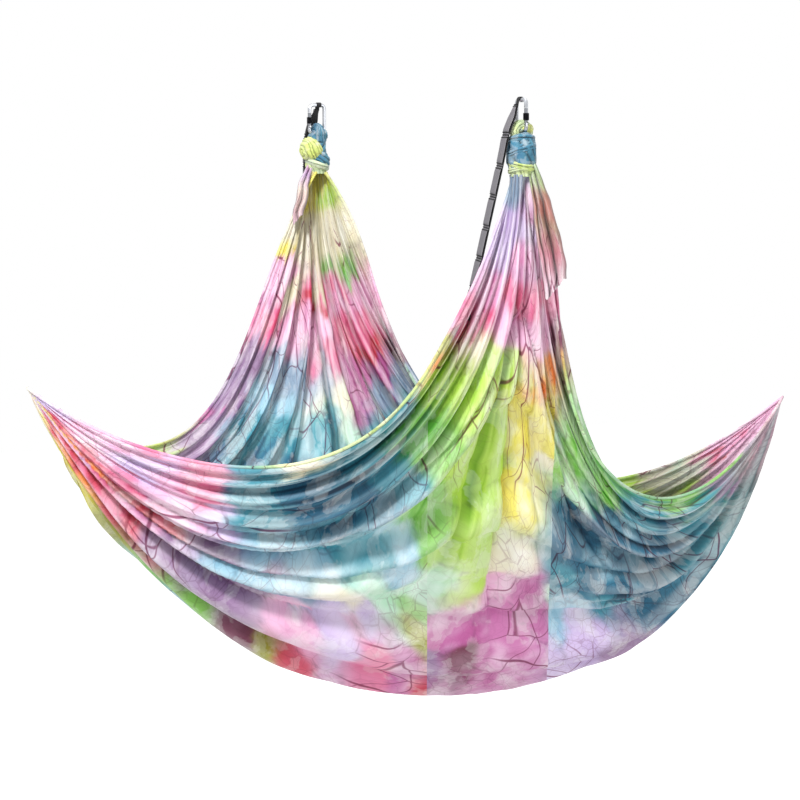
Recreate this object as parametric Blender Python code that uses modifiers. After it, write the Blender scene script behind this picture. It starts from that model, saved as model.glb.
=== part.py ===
"""Aerial hammock: one wide stretch-fabric sheet knotted to two screw-gate
carabiners, drawn out to a point at each side, with a daisy-chain strap on
each carabiner.

Metres, +Z up. +X runs from the left drawn-out tip to the right one, +Y from
the front hang point to the back one. The origin is the flat seat inside the
crown of the front carabiner.
"""
import math

import bmesh
import bpy
import numpy as np
from mathutils import Matrix, Vector

# Fits
GAP = 0.0003            # clearance between pieces that touch

# Hang points
SPAN = 1.000            # between the two carabiners' centre lines
KNOT_DROP = 0.1063      # knot centre below the crown seat

# Carabiner
BAR_R = 0.0045          # round bar of the body
SEAT_CUT = 0.0008       # depth of the flat seat under the crown
SEAT_L = 0.006          # length of the seat along the crown
SEAT_OFF = 0.007        # seat centre from the carabiner's centre line
HALF_W = 0.0205         # bar centre line, half the width
RING_L = 0.070          # bar centre line, crown to bottom
CROWN_R = 0.0100        # crown corner radius of the centre line
HEEL_R = 0.0135         # bottom corner radius on the spine side
TOE_R = 0.0100          # bottom corner radius on the gate side
PIVOT_UP = 0.0170       # gate pivot above the bottom centre line
GATE_R = 0.0043         # gate cylinder
GATE_L = 0.0340         # pivot to the gate's free end
GATE_FOOT = 0.0040      # gate below its pivot
NOSE_GAP = 0.0006       # nose clear of the gate's swing
TAB_T = 0.0036          # hinge tab thickness
TAB_R = 0.0035          # hinge tab end radius
RIVET_R = 0.0013        # gate rivet
RIVET_HEAD = 0.0022     # rivet head radius
RIVET_HEAD_T = 0.0006   # rivet head thickness
SLEEVE_R = 0.0066       # screw sleeve, outside
SLEEVE_L = 0.016        # screw sleeve length
SLEEVE_UP = 0.007       # sleeve's lower end above the pivot, unscrewed
SLEEVE_FIT = 0.0005     # clearance round the gate and the nose inside the sleeve
GRIP_N = 14             # grip flutes round the sleeve
GRIP_R = 0.0007         # flute radius

# Daisy-chain strap
WEB_W = 0.025           # webbing width
WEB_T = 0.0018          # webbing thickness
EYE_W = 0.012           # webbing folded narrower at the eye
EYE_OFF = -0.0045       # eye centre from the carabiner's centre line
PITCH = 0.068           # bar tack to bar tack
STAND_OFF = 0.0425      # strap's distance from the knot's axis as it passes the knot
POCKETS = 7             # pockets down the tail
POCKET_H = 0.0030       # how far a pocket stands off the core band
TACK_L = 0.011          # sewn length at each bar tack

# Knots
KNOT_FOOT = -0.0550     # barrel foot from the knot centre
KNOT_TOP = 0.0340       # barrel top, under the carabiner's bottom bar
LOOP_R = 0.0105         # fabric loop over the bottom bar, in the bar's direction
LOOP_WIDE = 1.10        # its width across the bar, as a share of its depth along it

# Cloth
CLOTH_T = 0.0014        # shell thickness of the cloth solids
HEM_R = 0.0028          # rolled hem
HEM_CLEAR = 0.0015      # hem clear of the cloth's faceted edge
EDGE_GAP = CLOTH_T / 2 + GAP            # each panel's edge back from the shared line
RING_R = 0.0235         # bundle radius where the cloth leaves a knot
RING_ARC = 150.0        # half the arc that the bundle covers, degrees
FAN_Z = KNOT_FOOT - 2 * GAP            # cloth starts right under the knot
TUCK = (0.018, -0.010, 0.0)            # most that the front wall's left edge is drawn in
LEFT_TIP = (-0.986, -0.029, -0.526)    # from the middle between the knots
RIGHT_TIP = (0.951, -0.160, -0.6085)
BELLY = (0.162, 0.0, -1.308)
HULL_BOW = 0.75         # how full the curves between their ends are
FOLD_DEPTH = 0.030      # most that a main fold rises or sinks
FOLD_SHARE = 0.24       # its rise as a share of the spacing of the folds
LEFT_FOLDS = 4.25       # main folds from the left selvedge to the middle
RIGHT_FOLDS = 3.25
BELLY_EDGE = 1.30       # fold line where the walls end and the belly begins
TIP_CUT = 0.028         # share of each fold line left free at the tips
ROWS = 15               # points along each fold line

# Tails
TAIL_T = 0.0030
FRONT_TAIL_L = 0.285
BACK_TAIL_L = 0.150


def clear_scene():
    """Start from an empty scene."""
    for old in list(bpy.data.objects):
        bpy.data.objects.remove(old, do_unlink=True)


def collection(name):
    """A new collection linked to the scene."""
    made = bpy.data.collections.new(name)
    bpy.context.scene.collection.children.link(made)
    return made


clear_scene()
PARTS = collection("aerial_hammock")
TOOLS = collection("cutters")


def finish(obj, colour, metallic=0.0, rough=0.6):
    """Put a finished sub-part in the parts collection with its material."""
    mat = bpy.data.materials.new(obj.name)
    mat.use_nodes = True
    shader = mat.node_tree.nodes["Principled BSDF"]
    shader.inputs["Base Color"].default_value = (*colour, 1.0)
    shader.inputs["Metallic"].default_value = metallic
    shader.inputs["Roughness"].default_value = rough
    obj.data.materials.clear()
    obj.data.materials.append(mat)
    return obj


def mesh_object(name, verts, faces, where=None, weld=0.00001):
    """A mesh object from vertices and faces, welded and with outward normals."""
    mesh = bpy.data.meshes.new(name)
    mesh.from_pydata([tuple(map(float, v)) for v in verts], [], [tuple(map(int, f)) for f in faces])
    work = bmesh.new()
    work.from_mesh(mesh)
    bmesh.ops.remove_doubles(work, verts=work.verts, dist=weld)
    bmesh.ops.recalc_face_normals(work, faces=work.faces)
    work.to_mesh(mesh)
    work.free()
    obj = bpy.data.objects.new(name, mesh)
    (where or PARTS).objects.link(obj)
    return obj


def cutter(obj):
    """Mark an object as a Boolean tool."""
    obj.hide_render = True
    obj.display_type = "WIRE"
    return obj


def boolean(obj, tool, how="DIFFERENCE"):
    """Apply one exact Boolean at once."""
    mod = obj.modifiers.new(how.lower(), "BOOLEAN")
    mod.operation = how
    mod.solver = "EXACT"
    mod.object = tool
    graph = bpy.context.evaluated_depsgraph_get()
    made = bpy.data.meshes.new_from_object(obj.evaluated_get(graph))
    obj.modifiers.clear()
    obj.data = made
    work = bmesh.new()
    work.from_mesh(made)
    bmesh.ops.remove_doubles(work, verts=work.verts, dist=0.00001)
    work.to_mesh(made)
    work.free()


def place(obj, matrix):
    """Bake a placement into the mesh."""
    obj.data.transform(matrix)
    obj.data.update()
    return obj


def cylinder(name, radius, low, high, axis="Z", sides=24, where=None):
    """A cylinder from low to high along an axis through the origin."""
    mesh = bpy.data.meshes.new(name)
    work = bmesh.new()
    bmesh.ops.create_cone(work, cap_ends=True, segments=sides, radius1=radius,
                          radius2=radius, depth=high - low)
    work.to_mesh(mesh)
    work.free()
    mesh.transform(Matrix.Translation((0, 0, (low + high) / 2)))
    if axis == "X":
        mesh.transform(Matrix.Rotation(math.pi / 2, 4, "Y"))
    if axis == "Y":
        mesh.transform(Matrix.Rotation(-math.pi / 2, 4, "X"))
    obj = bpy.data.objects.new(name, mesh)
    (where or PARTS).objects.link(obj)
    return obj


def box(name, size, centre, where=None):
    """A box of a size about a centre."""
    mesh = bpy.data.meshes.new(name)
    work = bmesh.new()
    bmesh.ops.create_cube(work, size=1.0)
    work.to_mesh(mesh)
    work.free()
    mesh.transform(Matrix.Translation(centre) @ Matrix.Diagonal((*size, 1.0)))
    obj = bpy.data.objects.new(name, mesh)
    (where or PARTS).objects.link(obj)
    return obj


def tube(name, points, radius, sides=12, where=None):
    """A round tube along points, with closed ends."""
    curve = bpy.data.curves.new(name, "CURVE")
    curve.dimensions = "3D"
    curve.bevel_depth = radius
    curve.bevel_resolution = max(0, sides // 4 - 1)
    curve.use_fill_caps = True
    line = curve.splines.new("POLY")
    line.points.add(len(points) - 1)
    for slot, point in zip(line.points, points):
        slot.co = (*map(float, point), 1.0)
    source = bpy.data.objects.new(name + "_line", curve)
    TOOLS.objects.link(source)
    graph = bpy.context.evaluated_depsgraph_get()
    mesh = bpy.data.meshes.new_from_object(source.evaluated_get(graph))
    bpy.data.objects.remove(source, do_unlink=True)
    work = bmesh.new()
    work.from_mesh(mesh)
    bmesh.ops.remove_doubles(work, verts=work.verts, dist=0.00001)
    bmesh.ops.recalc_face_normals(work, faces=work.faces)
    work.to_mesh(mesh)
    work.free()
    obj = bpy.data.objects.new(name, mesh)
    (where or PARTS).objects.link(obj)
    return obj


def loft(name, rings, where=None):
    """Close a stack of rings into a solid with flat ends."""
    count, sides = rings.shape[:2]
    verts = rings.reshape(-1, 3)
    faces = []
    for i in range(count - 1):
        for k in range(sides):
            a, b = i * sides + k, i * sides + (k + 1) % sides
            faces.append((a, b, b + sides, a + sides))
    faces.append(tuple(range(sides)))
    faces.append(tuple((count - 1) * sides + k for k in range(sides))[::-1])
    return mesh_object(name, verts, faces, where)


def arc(centre, radius, start, end, count):
    """Points of an arc in the XZ plane, angles in degrees from +X."""
    angle = np.radians(np.linspace(start, end, count))
    flat = np.zeros(count)
    return np.stack([centre[0] + radius * np.cos(angle), flat, centre[1] + radius * np.sin(angle)], 1)


# Carabiner, drawn in its own XZ plane with the crown seat at height 0
CROWN_Z = BAR_R - SEAT_CUT
BOTTOM_Z = CROWN_Z - RING_L
PIVOT_Z = BOTTOM_Z + PIVOT_UP
NOSE_Z = PIVOT_Z + GATE_L
FRONT_TURN = Matrix.Translation((0, SEAT_OFF, 0)) @ Matrix.Rotation(-math.pi / 2, 4, "Z")
BACK_TURN = Matrix.Translation((0, SEAT_OFF + SPAN, 0)) @ Matrix.Rotation(math.pi, 4, "Z")


def ring_line():
    """Centre line of the body from the nose, over the crown, to the gate foot."""
    crown, bottom = CROWN_Z, BOTTOM_Z
    return np.concatenate([
        [(HALF_W, 0, NOSE_Z - 0.003)],
        arc((HALF_W - CROWN_R, crown - CROWN_R), CROWN_R, 0, 90, 7),
        arc((-HALF_W + CROWN_R, crown - CROWN_R), CROWN_R, 90, 180, 7),
        arc((-HALF_W + HEEL_R, bottom + HEEL_R), HEEL_R, 180, 270, 7),
        arc((HALF_W - TOE_R, bottom + TOE_R), TOE_R, 270, 360, 7),
        [(HALF_W, 0, PIVOT_Z - GATE_FOOT - 0.0022)],
    ])


def carabiner_body(name, turn):
    """Bar bent to a ring, hinge tab, gate bore, nose cut and crown seat."""
    body = tube(name, ring_line(), BAR_R, 16)
    tab_low = PIVOT_Z - GATE_FOOT - 0.006
    tab = box("tab", (2 * TAB_R, TAB_T, PIVOT_Z - tab_low), (HALF_W, 0, (PIVOT_Z + tab_low) / 2), TOOLS)
    boolean(body, cutter(tab), "UNION")
    head = cylinder("tab_head", TAB_R, -TAB_T / 2, TAB_T / 2, "Y", 20, TOOLS)
    place(head, Matrix.Translation((HALF_W, 0, PIVOT_Z)))
    boolean(body, cutter(head), "UNION")
    bore = cylinder("bore", RIVET_R + GAP, -0.02, 0.02, "Y", 16, TOOLS)
    place(bore, Matrix.Translation((HALF_W, 0, PIVOT_Z)))
    boolean(body, cutter(bore))
    swing = math.hypot(GATE_L, GATE_R) + NOSE_GAP
    clear = cylinder("swing", swing, -0.02, 0.02, "Y", 96, TOOLS)
    keep = box("upper", (0.018, 0.04, 0.030), (HALF_W, 0, NOSE_Z - 0.008), TOOLS)
    place(clear, Matrix.Translation((HALF_W, 0, PIVOT_Z)))
    boolean(clear, cutter(keep), "INTERSECT")
    boolean(body, cutter(clear))
    seat = box("seat", (SEAT_L, 0.02, 0.01), (SEAT_OFF, 0, -0.005), TOOLS)
    boolean(body, cutter(seat))
    return finish(place(body, turn), (0.55, 0.56, 0.58), 1.0, 0.35)


def carabiner_gate(name, turn):
    """Gate cylinder with a fork at its foot and a hole for the rivet."""
    gate = cylinder(name, GATE_R, -GATE_FOOT, GATE_L, "Z", 24)
    slot = box("slot", (0.02, TAB_T + 2 * GAP, 0.02), (0, 0, TAB_R + 2 * GAP - 0.01), TOOLS)
    boolean(gate, cutter(slot))
    hole = cylinder("hole", RIVET_R + GAP / 2, -0.02, 0.02, "Y", 16, TOOLS)
    boolean(gate, cutter(hole))
    shift = Matrix.Translation((HALF_W, 0, PIVOT_Z))
    return finish(place(gate, turn @ shift), (0.30, 0.31, 0.33), 1.0, 0.40)


def carabiner_rivet(name, turn):
    """Rivet through the gate fork and the tab, with a flat head at each end."""
    inner = GATE_R + GAP
    outer = inner + RIVET_HEAD_T
    levels = (-outer, -inner, -inner, inner, inner, outer)
    radii = (RIVET_HEAD, RIVET_HEAD, RIVET_R, RIVET_R, RIVET_HEAD, RIVET_HEAD)
    angle = np.linspace(0, 2 * np.pi, 17)[:-1]
    rings = np.array([np.stack([r * np.cos(angle), y + 0 * angle, r * np.sin(angle)], 1)
                      for y, r in zip(levels, radii)])
    rivet = loft(name, rings)
    shift = Matrix.Translation((HALF_W, 0, PIVOT_Z))
    return finish(place(rivet, turn @ shift), (0.65, 0.65, 0.66), 1.0, 0.30)


def carabiner_sleeve(name, turn):
    """Fluted screw sleeve round the gate."""
    low, high = SLEEVE_UP, SLEEVE_UP + SLEEVE_L
    sleeve = cylinder(name, SLEEVE_R, low, high, "Z", 56)
    bore = cylinder("sleeve_bore", BAR_R + SLEEVE_FIT, low - 0.01, high + 0.01, "Z", 32, TOOLS)
    boolean(sleeve, cutter(bore))
    for k in range(GRIP_N):
        angle = 2 * math.pi * k / GRIP_N
        flute = cylinder("flute", GRIP_R, low + 0.002, high - 0.002, "Z", 6, TOOLS)
        place(flute, Matrix.Translation((SLEEVE_R * math.cos(angle), SLEEVE_R * math.sin(angle), 0)))
        boolean(sleeve, cutter(flute))
    shift = Matrix.Translation((HALF_W, 0, PIVOT_Z))
    return finish(place(sleeve, turn @ shift), (0.03, 0.03, 0.035), 0.0, 0.45)


# Strap
EYE_R = BAR_R + GAP + WEB_T / 2


def smooth(x):
    """Smooth step from 0 to 1."""
    x = np.clip(x, 0.0, 1.0)
    return x * x * (3 - 2 * x)


def front_tail_line(s):
    """Front strap below the eye: past the knot, then in behind the wall."""
    out = 0.18 * s + (STAND_OFF - 0.18 * KNOT_DROP - EYE_R) * smooth(s / 0.085)
    inward = 0.063 * (s - 0.11 + np.sqrt((s - 0.11) ** 2 + 0.03 ** 2))
    return np.stack([-inward, -out, -s], 1)


def back_tail_line(s):
    """Back strap below the eye: stands off the knot, then hangs straight."""
    out = (STAND_OFF + 0.006 - EYE_R) * smooth(s / KNOT_DROP)
    return np.stack([0 * s, -out, -s], 1)


def band(name, line, width, offset, thick):
    """A webbing band: a centre line, its width along local x, and a thickness."""
    step = np.gradient(line, axis=0)
    step /= np.linalg.norm(step, axis=1, keepdims=True)
    across = np.tile([1.0, 0.0, 0.0], (len(line), 1))
    across -= step * (across * step).sum(1, keepdims=True)
    across /= np.linalg.norm(across, axis=1, keepdims=True)
    out = np.cross(across, step)
    mid = line + out * offset[:, None]
    half = across * (width[:, None] / 2)
    up = out * (thick / 2)
    rows = [mid - half - up, mid + half - up, mid + half + up, mid - half + up]
    verts = np.stack(rows, 1).reshape(-1, 3)
    n = len(line)
    faces = []
    for i in range(n - 1):
        for k in range(4):
            a, b = 4 * i + k, 4 * i + (k + 1) % 4
            faces.append((a, b, b + 4, a + 4))
    faces.append((0, 1, 2, 3))
    faces.append(tuple(4 * (n - 1) + k for k in (3, 2, 1, 0)))
    return mesh_object(name, verts, faces)


def strap_length():
    """Tail length below the eye."""
    return POCKETS * PITCH + TACK_L


def strap_core(name, turn, tail):
    """Core band: folded over the crown bar as an eye, then down the tail."""
    angle = np.radians(np.linspace(-60, 180, 15))
    eye = np.stack([0 * angle, EYE_R * np.cos(angle), EYE_R * np.sin(angle)], 1)
    start = np.array([0, -EYE_R, 0.0])
    low = start + tail(np.linspace(0.004, strap_length(), 40))
    line = np.concatenate([eye, low])
    line[:, 0] += EYE_OFF * (1 - smooth(np.clip(-line[:, 2], 0, None) / 0.05))
    line[:, 2] += CROWN_Z
    width = EYE_W + (WEB_W - EYE_W) * smooth((-line[:, 2] - 0.012) / 0.030)
    core = band(name, line, width, np.zeros(len(line)), WEB_T)
    return finish(place(core, turn), (0.02, 0.02, 0.022), 0.0, 0.85)


def strap_pockets(name, turn, tail):
    """Pocket band: sewn flat at each bar tack and standing off in between."""
    s = np.linspace(TACK_L, strap_length(), POCKETS * 8 + 1)
    start = np.array([0, -EYE_R, CROWN_Z])
    line = start + tail(s)
    line[:, 0] += EYE_OFF * (1 - smooth(np.clip(-(line[:, 2] - CROWN_Z), 0, None) / 0.05))
    phase = np.abs(((s - TACK_L) / PITCH) % 1.0 - 0.5) * 2
    rise = smooth((1 - phase) * 3.0) * POCKET_H
    offset = -(WEB_T + 2 * GAP + rise)
    width = np.full(len(s), WEB_W)
    width += (EYE_W - WEB_W) * (1 - smooth((-line[:, 2] - 0.012) / 0.030))
    pockets = band(name, line, width, offset, WEB_T)
    return finish(place(pockets, turn), (0.30, 0.29, 0.30), 0.0, 0.85)


# Cloth, from the middle between the two knots
MIDDLE = np.array([0.0, SEAT_OFF + SPAN / 2, -KNOT_DROP])


def side_mix(u, left, right):
    """Pick a control vector by which half of the cloth a point is in."""
    return np.where((u < 0)[..., None], np.array(left), np.array(right))


def hull(u):
    """Keel curve from the left tip by the belly to the right tip."""
    t = np.abs(u)[..., None]
    tip = side_mix(u, LEFT_TIP, RIGHT_TIP)
    reach = side_mix(u, (-0.561, 0, 0), (0.388, 0, 0))
    rise = side_mix(u, (0.182, 0, -0.393), (-0.093, 0, -0.405))
    belly = np.array(BELLY)
    return (belly * (1 - t) ** 3 + 3 * (belly + reach) * t * (1 - t) ** 2
            + 3 * (tip + rise) * t * t * (1 - t) + tip * t ** 3)


def blend(u, middle, left, right, flip):
    """A control vector that turns from the middle's to each selvedge's own."""
    s = np.abs(u)[..., None] ** 2.09
    return (np.array(middle) * (1 - s) + side_mix(u, left, right) * s) * flip


def tuck(u, t):
    """Draws the front wall's left edge in where it leaves the knot."""
    share = smooth((0.30 - t) / 0.20) * t / (t + 0.02)
    return np.array(TUCK) * share * np.clip(-u, 0, 1)[..., None] ** 2.09


def drape(u, b, side):
    """Cloth without folds: u from tip to tip, b from keel 0 to knot 1."""
    t = (1 - b)[..., None]
    flip = np.array([1.0, side, 1.0])
    turn = np.radians(RING_ARC) * u
    ring = np.stack([RING_R * np.sin(turn), side * RING_R * np.cos(turn), 0 * u], -1)
    knot = np.array([0, side * SPAN / 2, FAN_Z])
    rise = blend(u, (0, 0.200, 0), (0.247, 0.189, -0.243), (-0.890, 0.428, -0.792), flip)
    drop = blend(u, (0, -0.004, -0.753), (-0.296, 0.0455, -0.445), (0.300, -0.017, -0.400), flip)
    sway = blend(u, (0, -0.169, 0.087), (0.322, 0.140, -0.292), (-0.222, -0.081, 0.4975), flip)
    keel = hull(u)
    first = knot + ring
    mid = (knot + drop + keel + rise) / 2 + sway
    return (first * (1 - t) ** 4 + 4 * (first + drop * HULL_BOW) * t * (1 - t) ** 3
            + 6 * mid * t * t * (1 - t) ** 2 + 4 * (keel + rise * HULL_BOW) * t ** 3 * (1 - t)
            + keel * t ** 4 + (tuck(u, t) if side < 0 else 0.0))


def outward(u, b, side):
    """Unit normals pointing out of the basket."""
    h = 1e-4
    u0 = np.clip(u, -1 + h, 1 - h)
    b0 = np.clip(b, h, 1 - h)
    du = drape(u0 + h, b0, side) - drape(u0 - h, b0, side)
    db = drape(u0, b0 + h, side) - drape(u0, b0 - h, side)
    n = np.cross(du, db) * (-side)
    return n / np.maximum(np.linalg.norm(n, axis=-1, keepdims=True), 1e-12)


def fold(u, b, g, spacing):
    """Height of the main folds: they leave the knots and gather at the tips."""
    first = np.where(u < 0, LEFT_FOLDS, RIGHT_FOLDS)
    below = (g - 1) / (BELLY_EDGE - 1)
    under = (g - BELLY_EDGE) / (2 - BELLY_EDGE)
    phase = np.where(g < 1, first * g, first + below)
    phase = np.where(g < BELLY_EDGE, phase, first + 1 + (first - 1.75) * under)
    wave = np.sin(2 * np.pi * phase) + 0.15 * (np.cos(4 * np.pi * phase) - 1)
    middle = smooth((0.30 - np.abs(u)) / 0.30)
    wave = wave * (1 - middle) + middle * smooth((b - 0.45) / 0.5)
    calm = 1 - 0.6 * np.exp(-(u / 0.45) ** 2 - (b / 0.40) ** 2)
    rise = FOLD_SHARE * spacing / first
    rise = rise / np.sqrt(1 + (rise / FOLD_DEPTH) ** 2)
    rise = rise * (1 - middle) + middle * FOLD_DEPTH / 3 * smooth((1 - b) / 0.35)
    return rise * wave * calm * smooth((1 - b) / 0.10)


def place_on(half, g, rho):
    """Sheet coordinates of a point on fold line g at rho from the tip."""
    angle = np.pi * g / 4
    a = np.where(g <= 1, np.tan(angle), 1.0) * rho
    b = np.where(g <= 1, 1.0, np.tan(np.pi / 2 - angle)) * rho
    u = half * (1 - a)
    return np.where(np.abs(u) < 1e-9, 0.0, u), np.where(b < 1e-9, 0.0, b)


def fold_spacing(half, side, g, rho):
    """Distance across the fold lines for one unit of g."""
    h = 1e-3
    g0 = np.clip(g, h, 2 - h)
    r0 = np.minimum(rho, 1 - h)
    across = (drape(*place_on(half, g0 + h, r0), side)
              - drape(*place_on(half, g0 - h, r0), side)) / (2 * h)
    along = drape(*place_on(half, g0, r0 + h), side) - drape(*place_on(half, g0, r0 - h), side)
    along /= np.linalg.norm(along, axis=-1, keepdims=True)
    across -= along * (across * along).sum(-1, keepdims=True)
    return np.linalg.norm(across, axis=-1)


def cloth_point(half, side, g, rho):
    """Point on fold line g, at rho from a tip (0) to the knot or middle (1)."""
    g, rho = np.broadcast_arrays(g, rho)
    u, b = place_on(half, g, rho)
    n = outward(u, b, side)
    both = n + outward(u, b, -side)
    both /= np.linalg.norm(both, axis=-1, keepdims=True)
    keel = b < 1e-6
    n = np.where(keel[..., None], both, n)
    spacing = fold_spacing(half, side, g, rho)
    other = fold_spacing(half, -side, g, rho)
    spacing = np.where(keel, (spacing + other) / 2, spacing)
    rise = fold(u, b, g, spacing)
    return drape(u, b, side) + n * rise[..., None] + MIDDLE


def row_places(lead=()):
    """Shares of a fold line at which the cloth, the hems and the belly have points."""
    rho = TIP_CUT + (1 - TIP_CUT) * np.linspace(0, 1, ROWS) ** 0.9
    return np.concatenate([lead, rho])


def fan(half, side, lines, lead=()):
    """Grid of points along fold lines, from near a tip outwards."""
    return cloth_point(half, side, lines[:, None], row_places(lead)[None, :])


def square_to(line, move):
    """Unit vectors along move, made square to a line."""
    along = np.gradient(line, axis=0)
    along /= np.linalg.norm(along, axis=1, keepdims=True)
    move = move - along * (move * along).sum(1, keepdims=True)
    return move / np.linalg.norm(move, axis=1, keepdims=True)


def halved(rows):
    """The rows with one more halfway between each two."""
    out = np.empty((2 * len(rows) - 1, 3))
    out[::2] = rows
    out[1::2] = (rows[1:] + rows[:-1]) / 2
    return out


def inset(grid, amount):
    """Draw the first line of a grid in towards the second."""
    grid[0] += square_to(grid[0], grid[1] - grid[0]) * amount
    return grid


def quads(rows, cols, start):
    """Quad faces of a grid stored row by row."""
    i, j = np.meshgrid(np.arange(rows - 1), np.arange(cols - 1), indexing="ij")
    a = start + i * cols + j
    return np.stack([a, a + 1, a + cols + 1, a + cols], -1).reshape(-1, 4)


def shell(name, grids, thick):
    """Join grids into one surface and give it a thickness."""
    verts, faces, start = [], [], 0
    for grid in grids:
        rows, cols = grid.shape[:2]
        verts.append(grid.reshape(-1, 3))
        faces.append(quads(rows, cols, start))
        start += rows * cols
    obj = mesh_object(name, np.concatenate(verts), np.concatenate(faces))
    mod = obj.modifiers.new("thickness", "SOLIDIFY")
    mod.thickness = thick
    mod.offset = 0.0
    return obj


def wall_lines(folds):
    """Fold lines of a wall: four to a fold up to the middle, then evenly."""
    upper = np.linspace(0, 1, int(round(folds * 4)) + 1)
    lower = np.linspace(1, BELLY_EDGE, 5)[1:]
    return np.concatenate([upper, lower])


def wall(name, side, colour):
    """Front or back wall, from a knot to both selvedges and the belly's edge."""
    grids = []
    for half, folds in ((-1.0, LEFT_FOLDS), (1.0, RIGHT_FOLDS)):
        grid = fan(half, side, wall_lines(folds))
        grids.append(inset(grid[::-1], EDGE_GAP)[::-1])
    return finish(shell(name, grids, CLOTH_T), colour, 0.0, 0.8)


def belly(name, colour):
    """Lower part of the basket between the two walls."""
    lines = np.linspace(BELLY_EDGE, 2.0, 9)
    grids = []
    for half in (-1.0, 1.0):
        for side in (-1.0, 1.0):
            grid = fan(half, side, lines, (TIP_CUT / 2,))
            grids.append(inset(grid, EDGE_GAP))
    return finish(shell(name, grids, CLOTH_T), colour, 0.0, 0.8)


def hem(name, half, colour):
    """Rolled hem along one selvedge, just outside the cloth's edge."""
    folds = LEFT_FOLDS if half < 0 else RIGHT_FOLDS
    lines = []
    for side in (-1.0, 1.0):
        grid = fan(half, side, wall_lines(folds))
        edge, inward = halved(grid[0]), halved(grid[1] - grid[0])
        out = HEM_R + CLOTH_T / 2 + HEM_CLEAR
        lines.append((edge - square_to(edge, inward) * out)[::-1])
    tip = np.array(LEFT_TIP if half < 0 else RIGHT_TIP) + MIDDLE
    points = np.concatenate([lines[0], [tip], lines[1][::-1]])
    return finish(tube(name, points, HEM_R, 8), colour, 0.0, 0.8)


def knot_solid(name, centre, profile, creases, lobes, turn, colour):
    """Wrapped knot: a creased barrel, lobes of cloth and a loop on the bar."""
    height = np.linspace(KNOT_FOOT, KNOT_TOP, 15)[:, None]
    angle = np.linspace(0, 2 * np.pi, 21)[:-1][None, :]
    radius = np.interp(height, *np.array(profile).T) + 0 * angle
    for level, tilt, where, depth in creases:
        line = level + tilt * np.cos(angle - where)
        radius = radius * (1 - depth * np.exp(-((height - line) / 0.006) ** 2))
    rings = np.stack([radius * np.cos(angle), radius * np.sin(angle), height + 0 * angle], -1)
    knot = loft(name, rings + centre)
    for middle, radii, tilt in lobes:
        boolean(knot, cutter(lobe(np.array(middle) + centre, radii, tilt)), "UNION")
    reach = BAR_R + GAP + LOOP_R
    rise = BOTTOM_Z - centre[2]
    over = arc((0.0, rise), reach, 200, -20, 13)
    legs = np.array([(-reach * 0.95, 0, KNOT_TOP - 0.014)])
    line = np.concatenate([legs, over, legs * (-1, 1, 1)])
    loop = tube("loop", line, LOOP_R, 12, TOOLS)
    place(loop, Matrix.Translation(Vector(centre)) @ Matrix.Rotation(turn, 4, "Z")
          @ Matrix.Diagonal((LOOP_WIDE, 1.0, 1.0, 1.0)))
    boolean(knot, cutter(loop), "UNION")
    return finish(knot, colour, 0.0, 0.8)


def lobe(middle, radii, tilt):
    """A rounded bulge of gathered cloth."""
    mesh = bpy.data.meshes.new("lobe")
    work = bmesh.new()
    bmesh.ops.create_uvsphere(work, u_segments=18, v_segments=12, radius=1.0)
    work.to_mesh(mesh)
    work.free()
    mesh.transform(Matrix.Translation(middle) @ Matrix.Rotation(math.radians(tilt), 4, "Y")
                   @ Matrix.Diagonal((*radii, 1.0)))
    obj = bpy.data.objects.new("lobe", mesh)
    TOOLS.objects.link(obj)
    return obj


def tail(name, points, widths, facing, waves, colour):
    """Free end of the cloth below a knot: a strip gathered into folds."""
    s = np.linspace(0, 1, 11)
    line = np.stack([np.interp(s, np.linspace(0, 1, len(points)), points[:, k]) for k in range(3)], 1)
    width = np.interp(s, [0, 0.5, 1], widths)[:, None]
    w = np.linspace(-0.5, 0.5, waves * 4 + 1)[None, :]
    across = np.array([facing[1], -facing[0], 0.0])
    depth = np.minimum(width * 0.16, 0.009) * np.cos(2 * np.pi * waves * w)
    grid = (line[:, None] + across * (w * width)[..., None]
            + np.array(facing) * depth[..., None])
    return finish(shell(name, [grid], TAIL_T), colour, 0.0, 0.8)


def carabiner(prefix, turn):
    """All pieces of one carabiner."""
    carabiner_body(prefix + "_carabiner_body", turn)
    carabiner_gate(prefix + "_carabiner_gate", turn)
    carabiner_rivet(prefix + "_gate_rivet", turn)
    carabiner_sleeve(prefix + "_screw_sleeve", turn)


def strap(prefix, turn, line):
    """Both bands of one strap."""
    strap_core(prefix + "_strap_core", turn, line)
    strap_pockets(prefix + "_strap_pockets", turn, line)


def cloth():
    """The sheet: two walls, the belly between them and its two hems."""
    wall("cloth_front_wall", -1.0, (0.55, 0.72, 0.45))
    belly("cloth_belly", (0.75, 0.55, 0.68))
    wall("cloth_back_wall", 1.0, (0.80, 0.62, 0.72))
    hem("left_hem", -1.0, (0.75, 0.85, 0.35))
    hem("right_hem", 1.0, (0.60, 0.80, 0.40))


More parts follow.
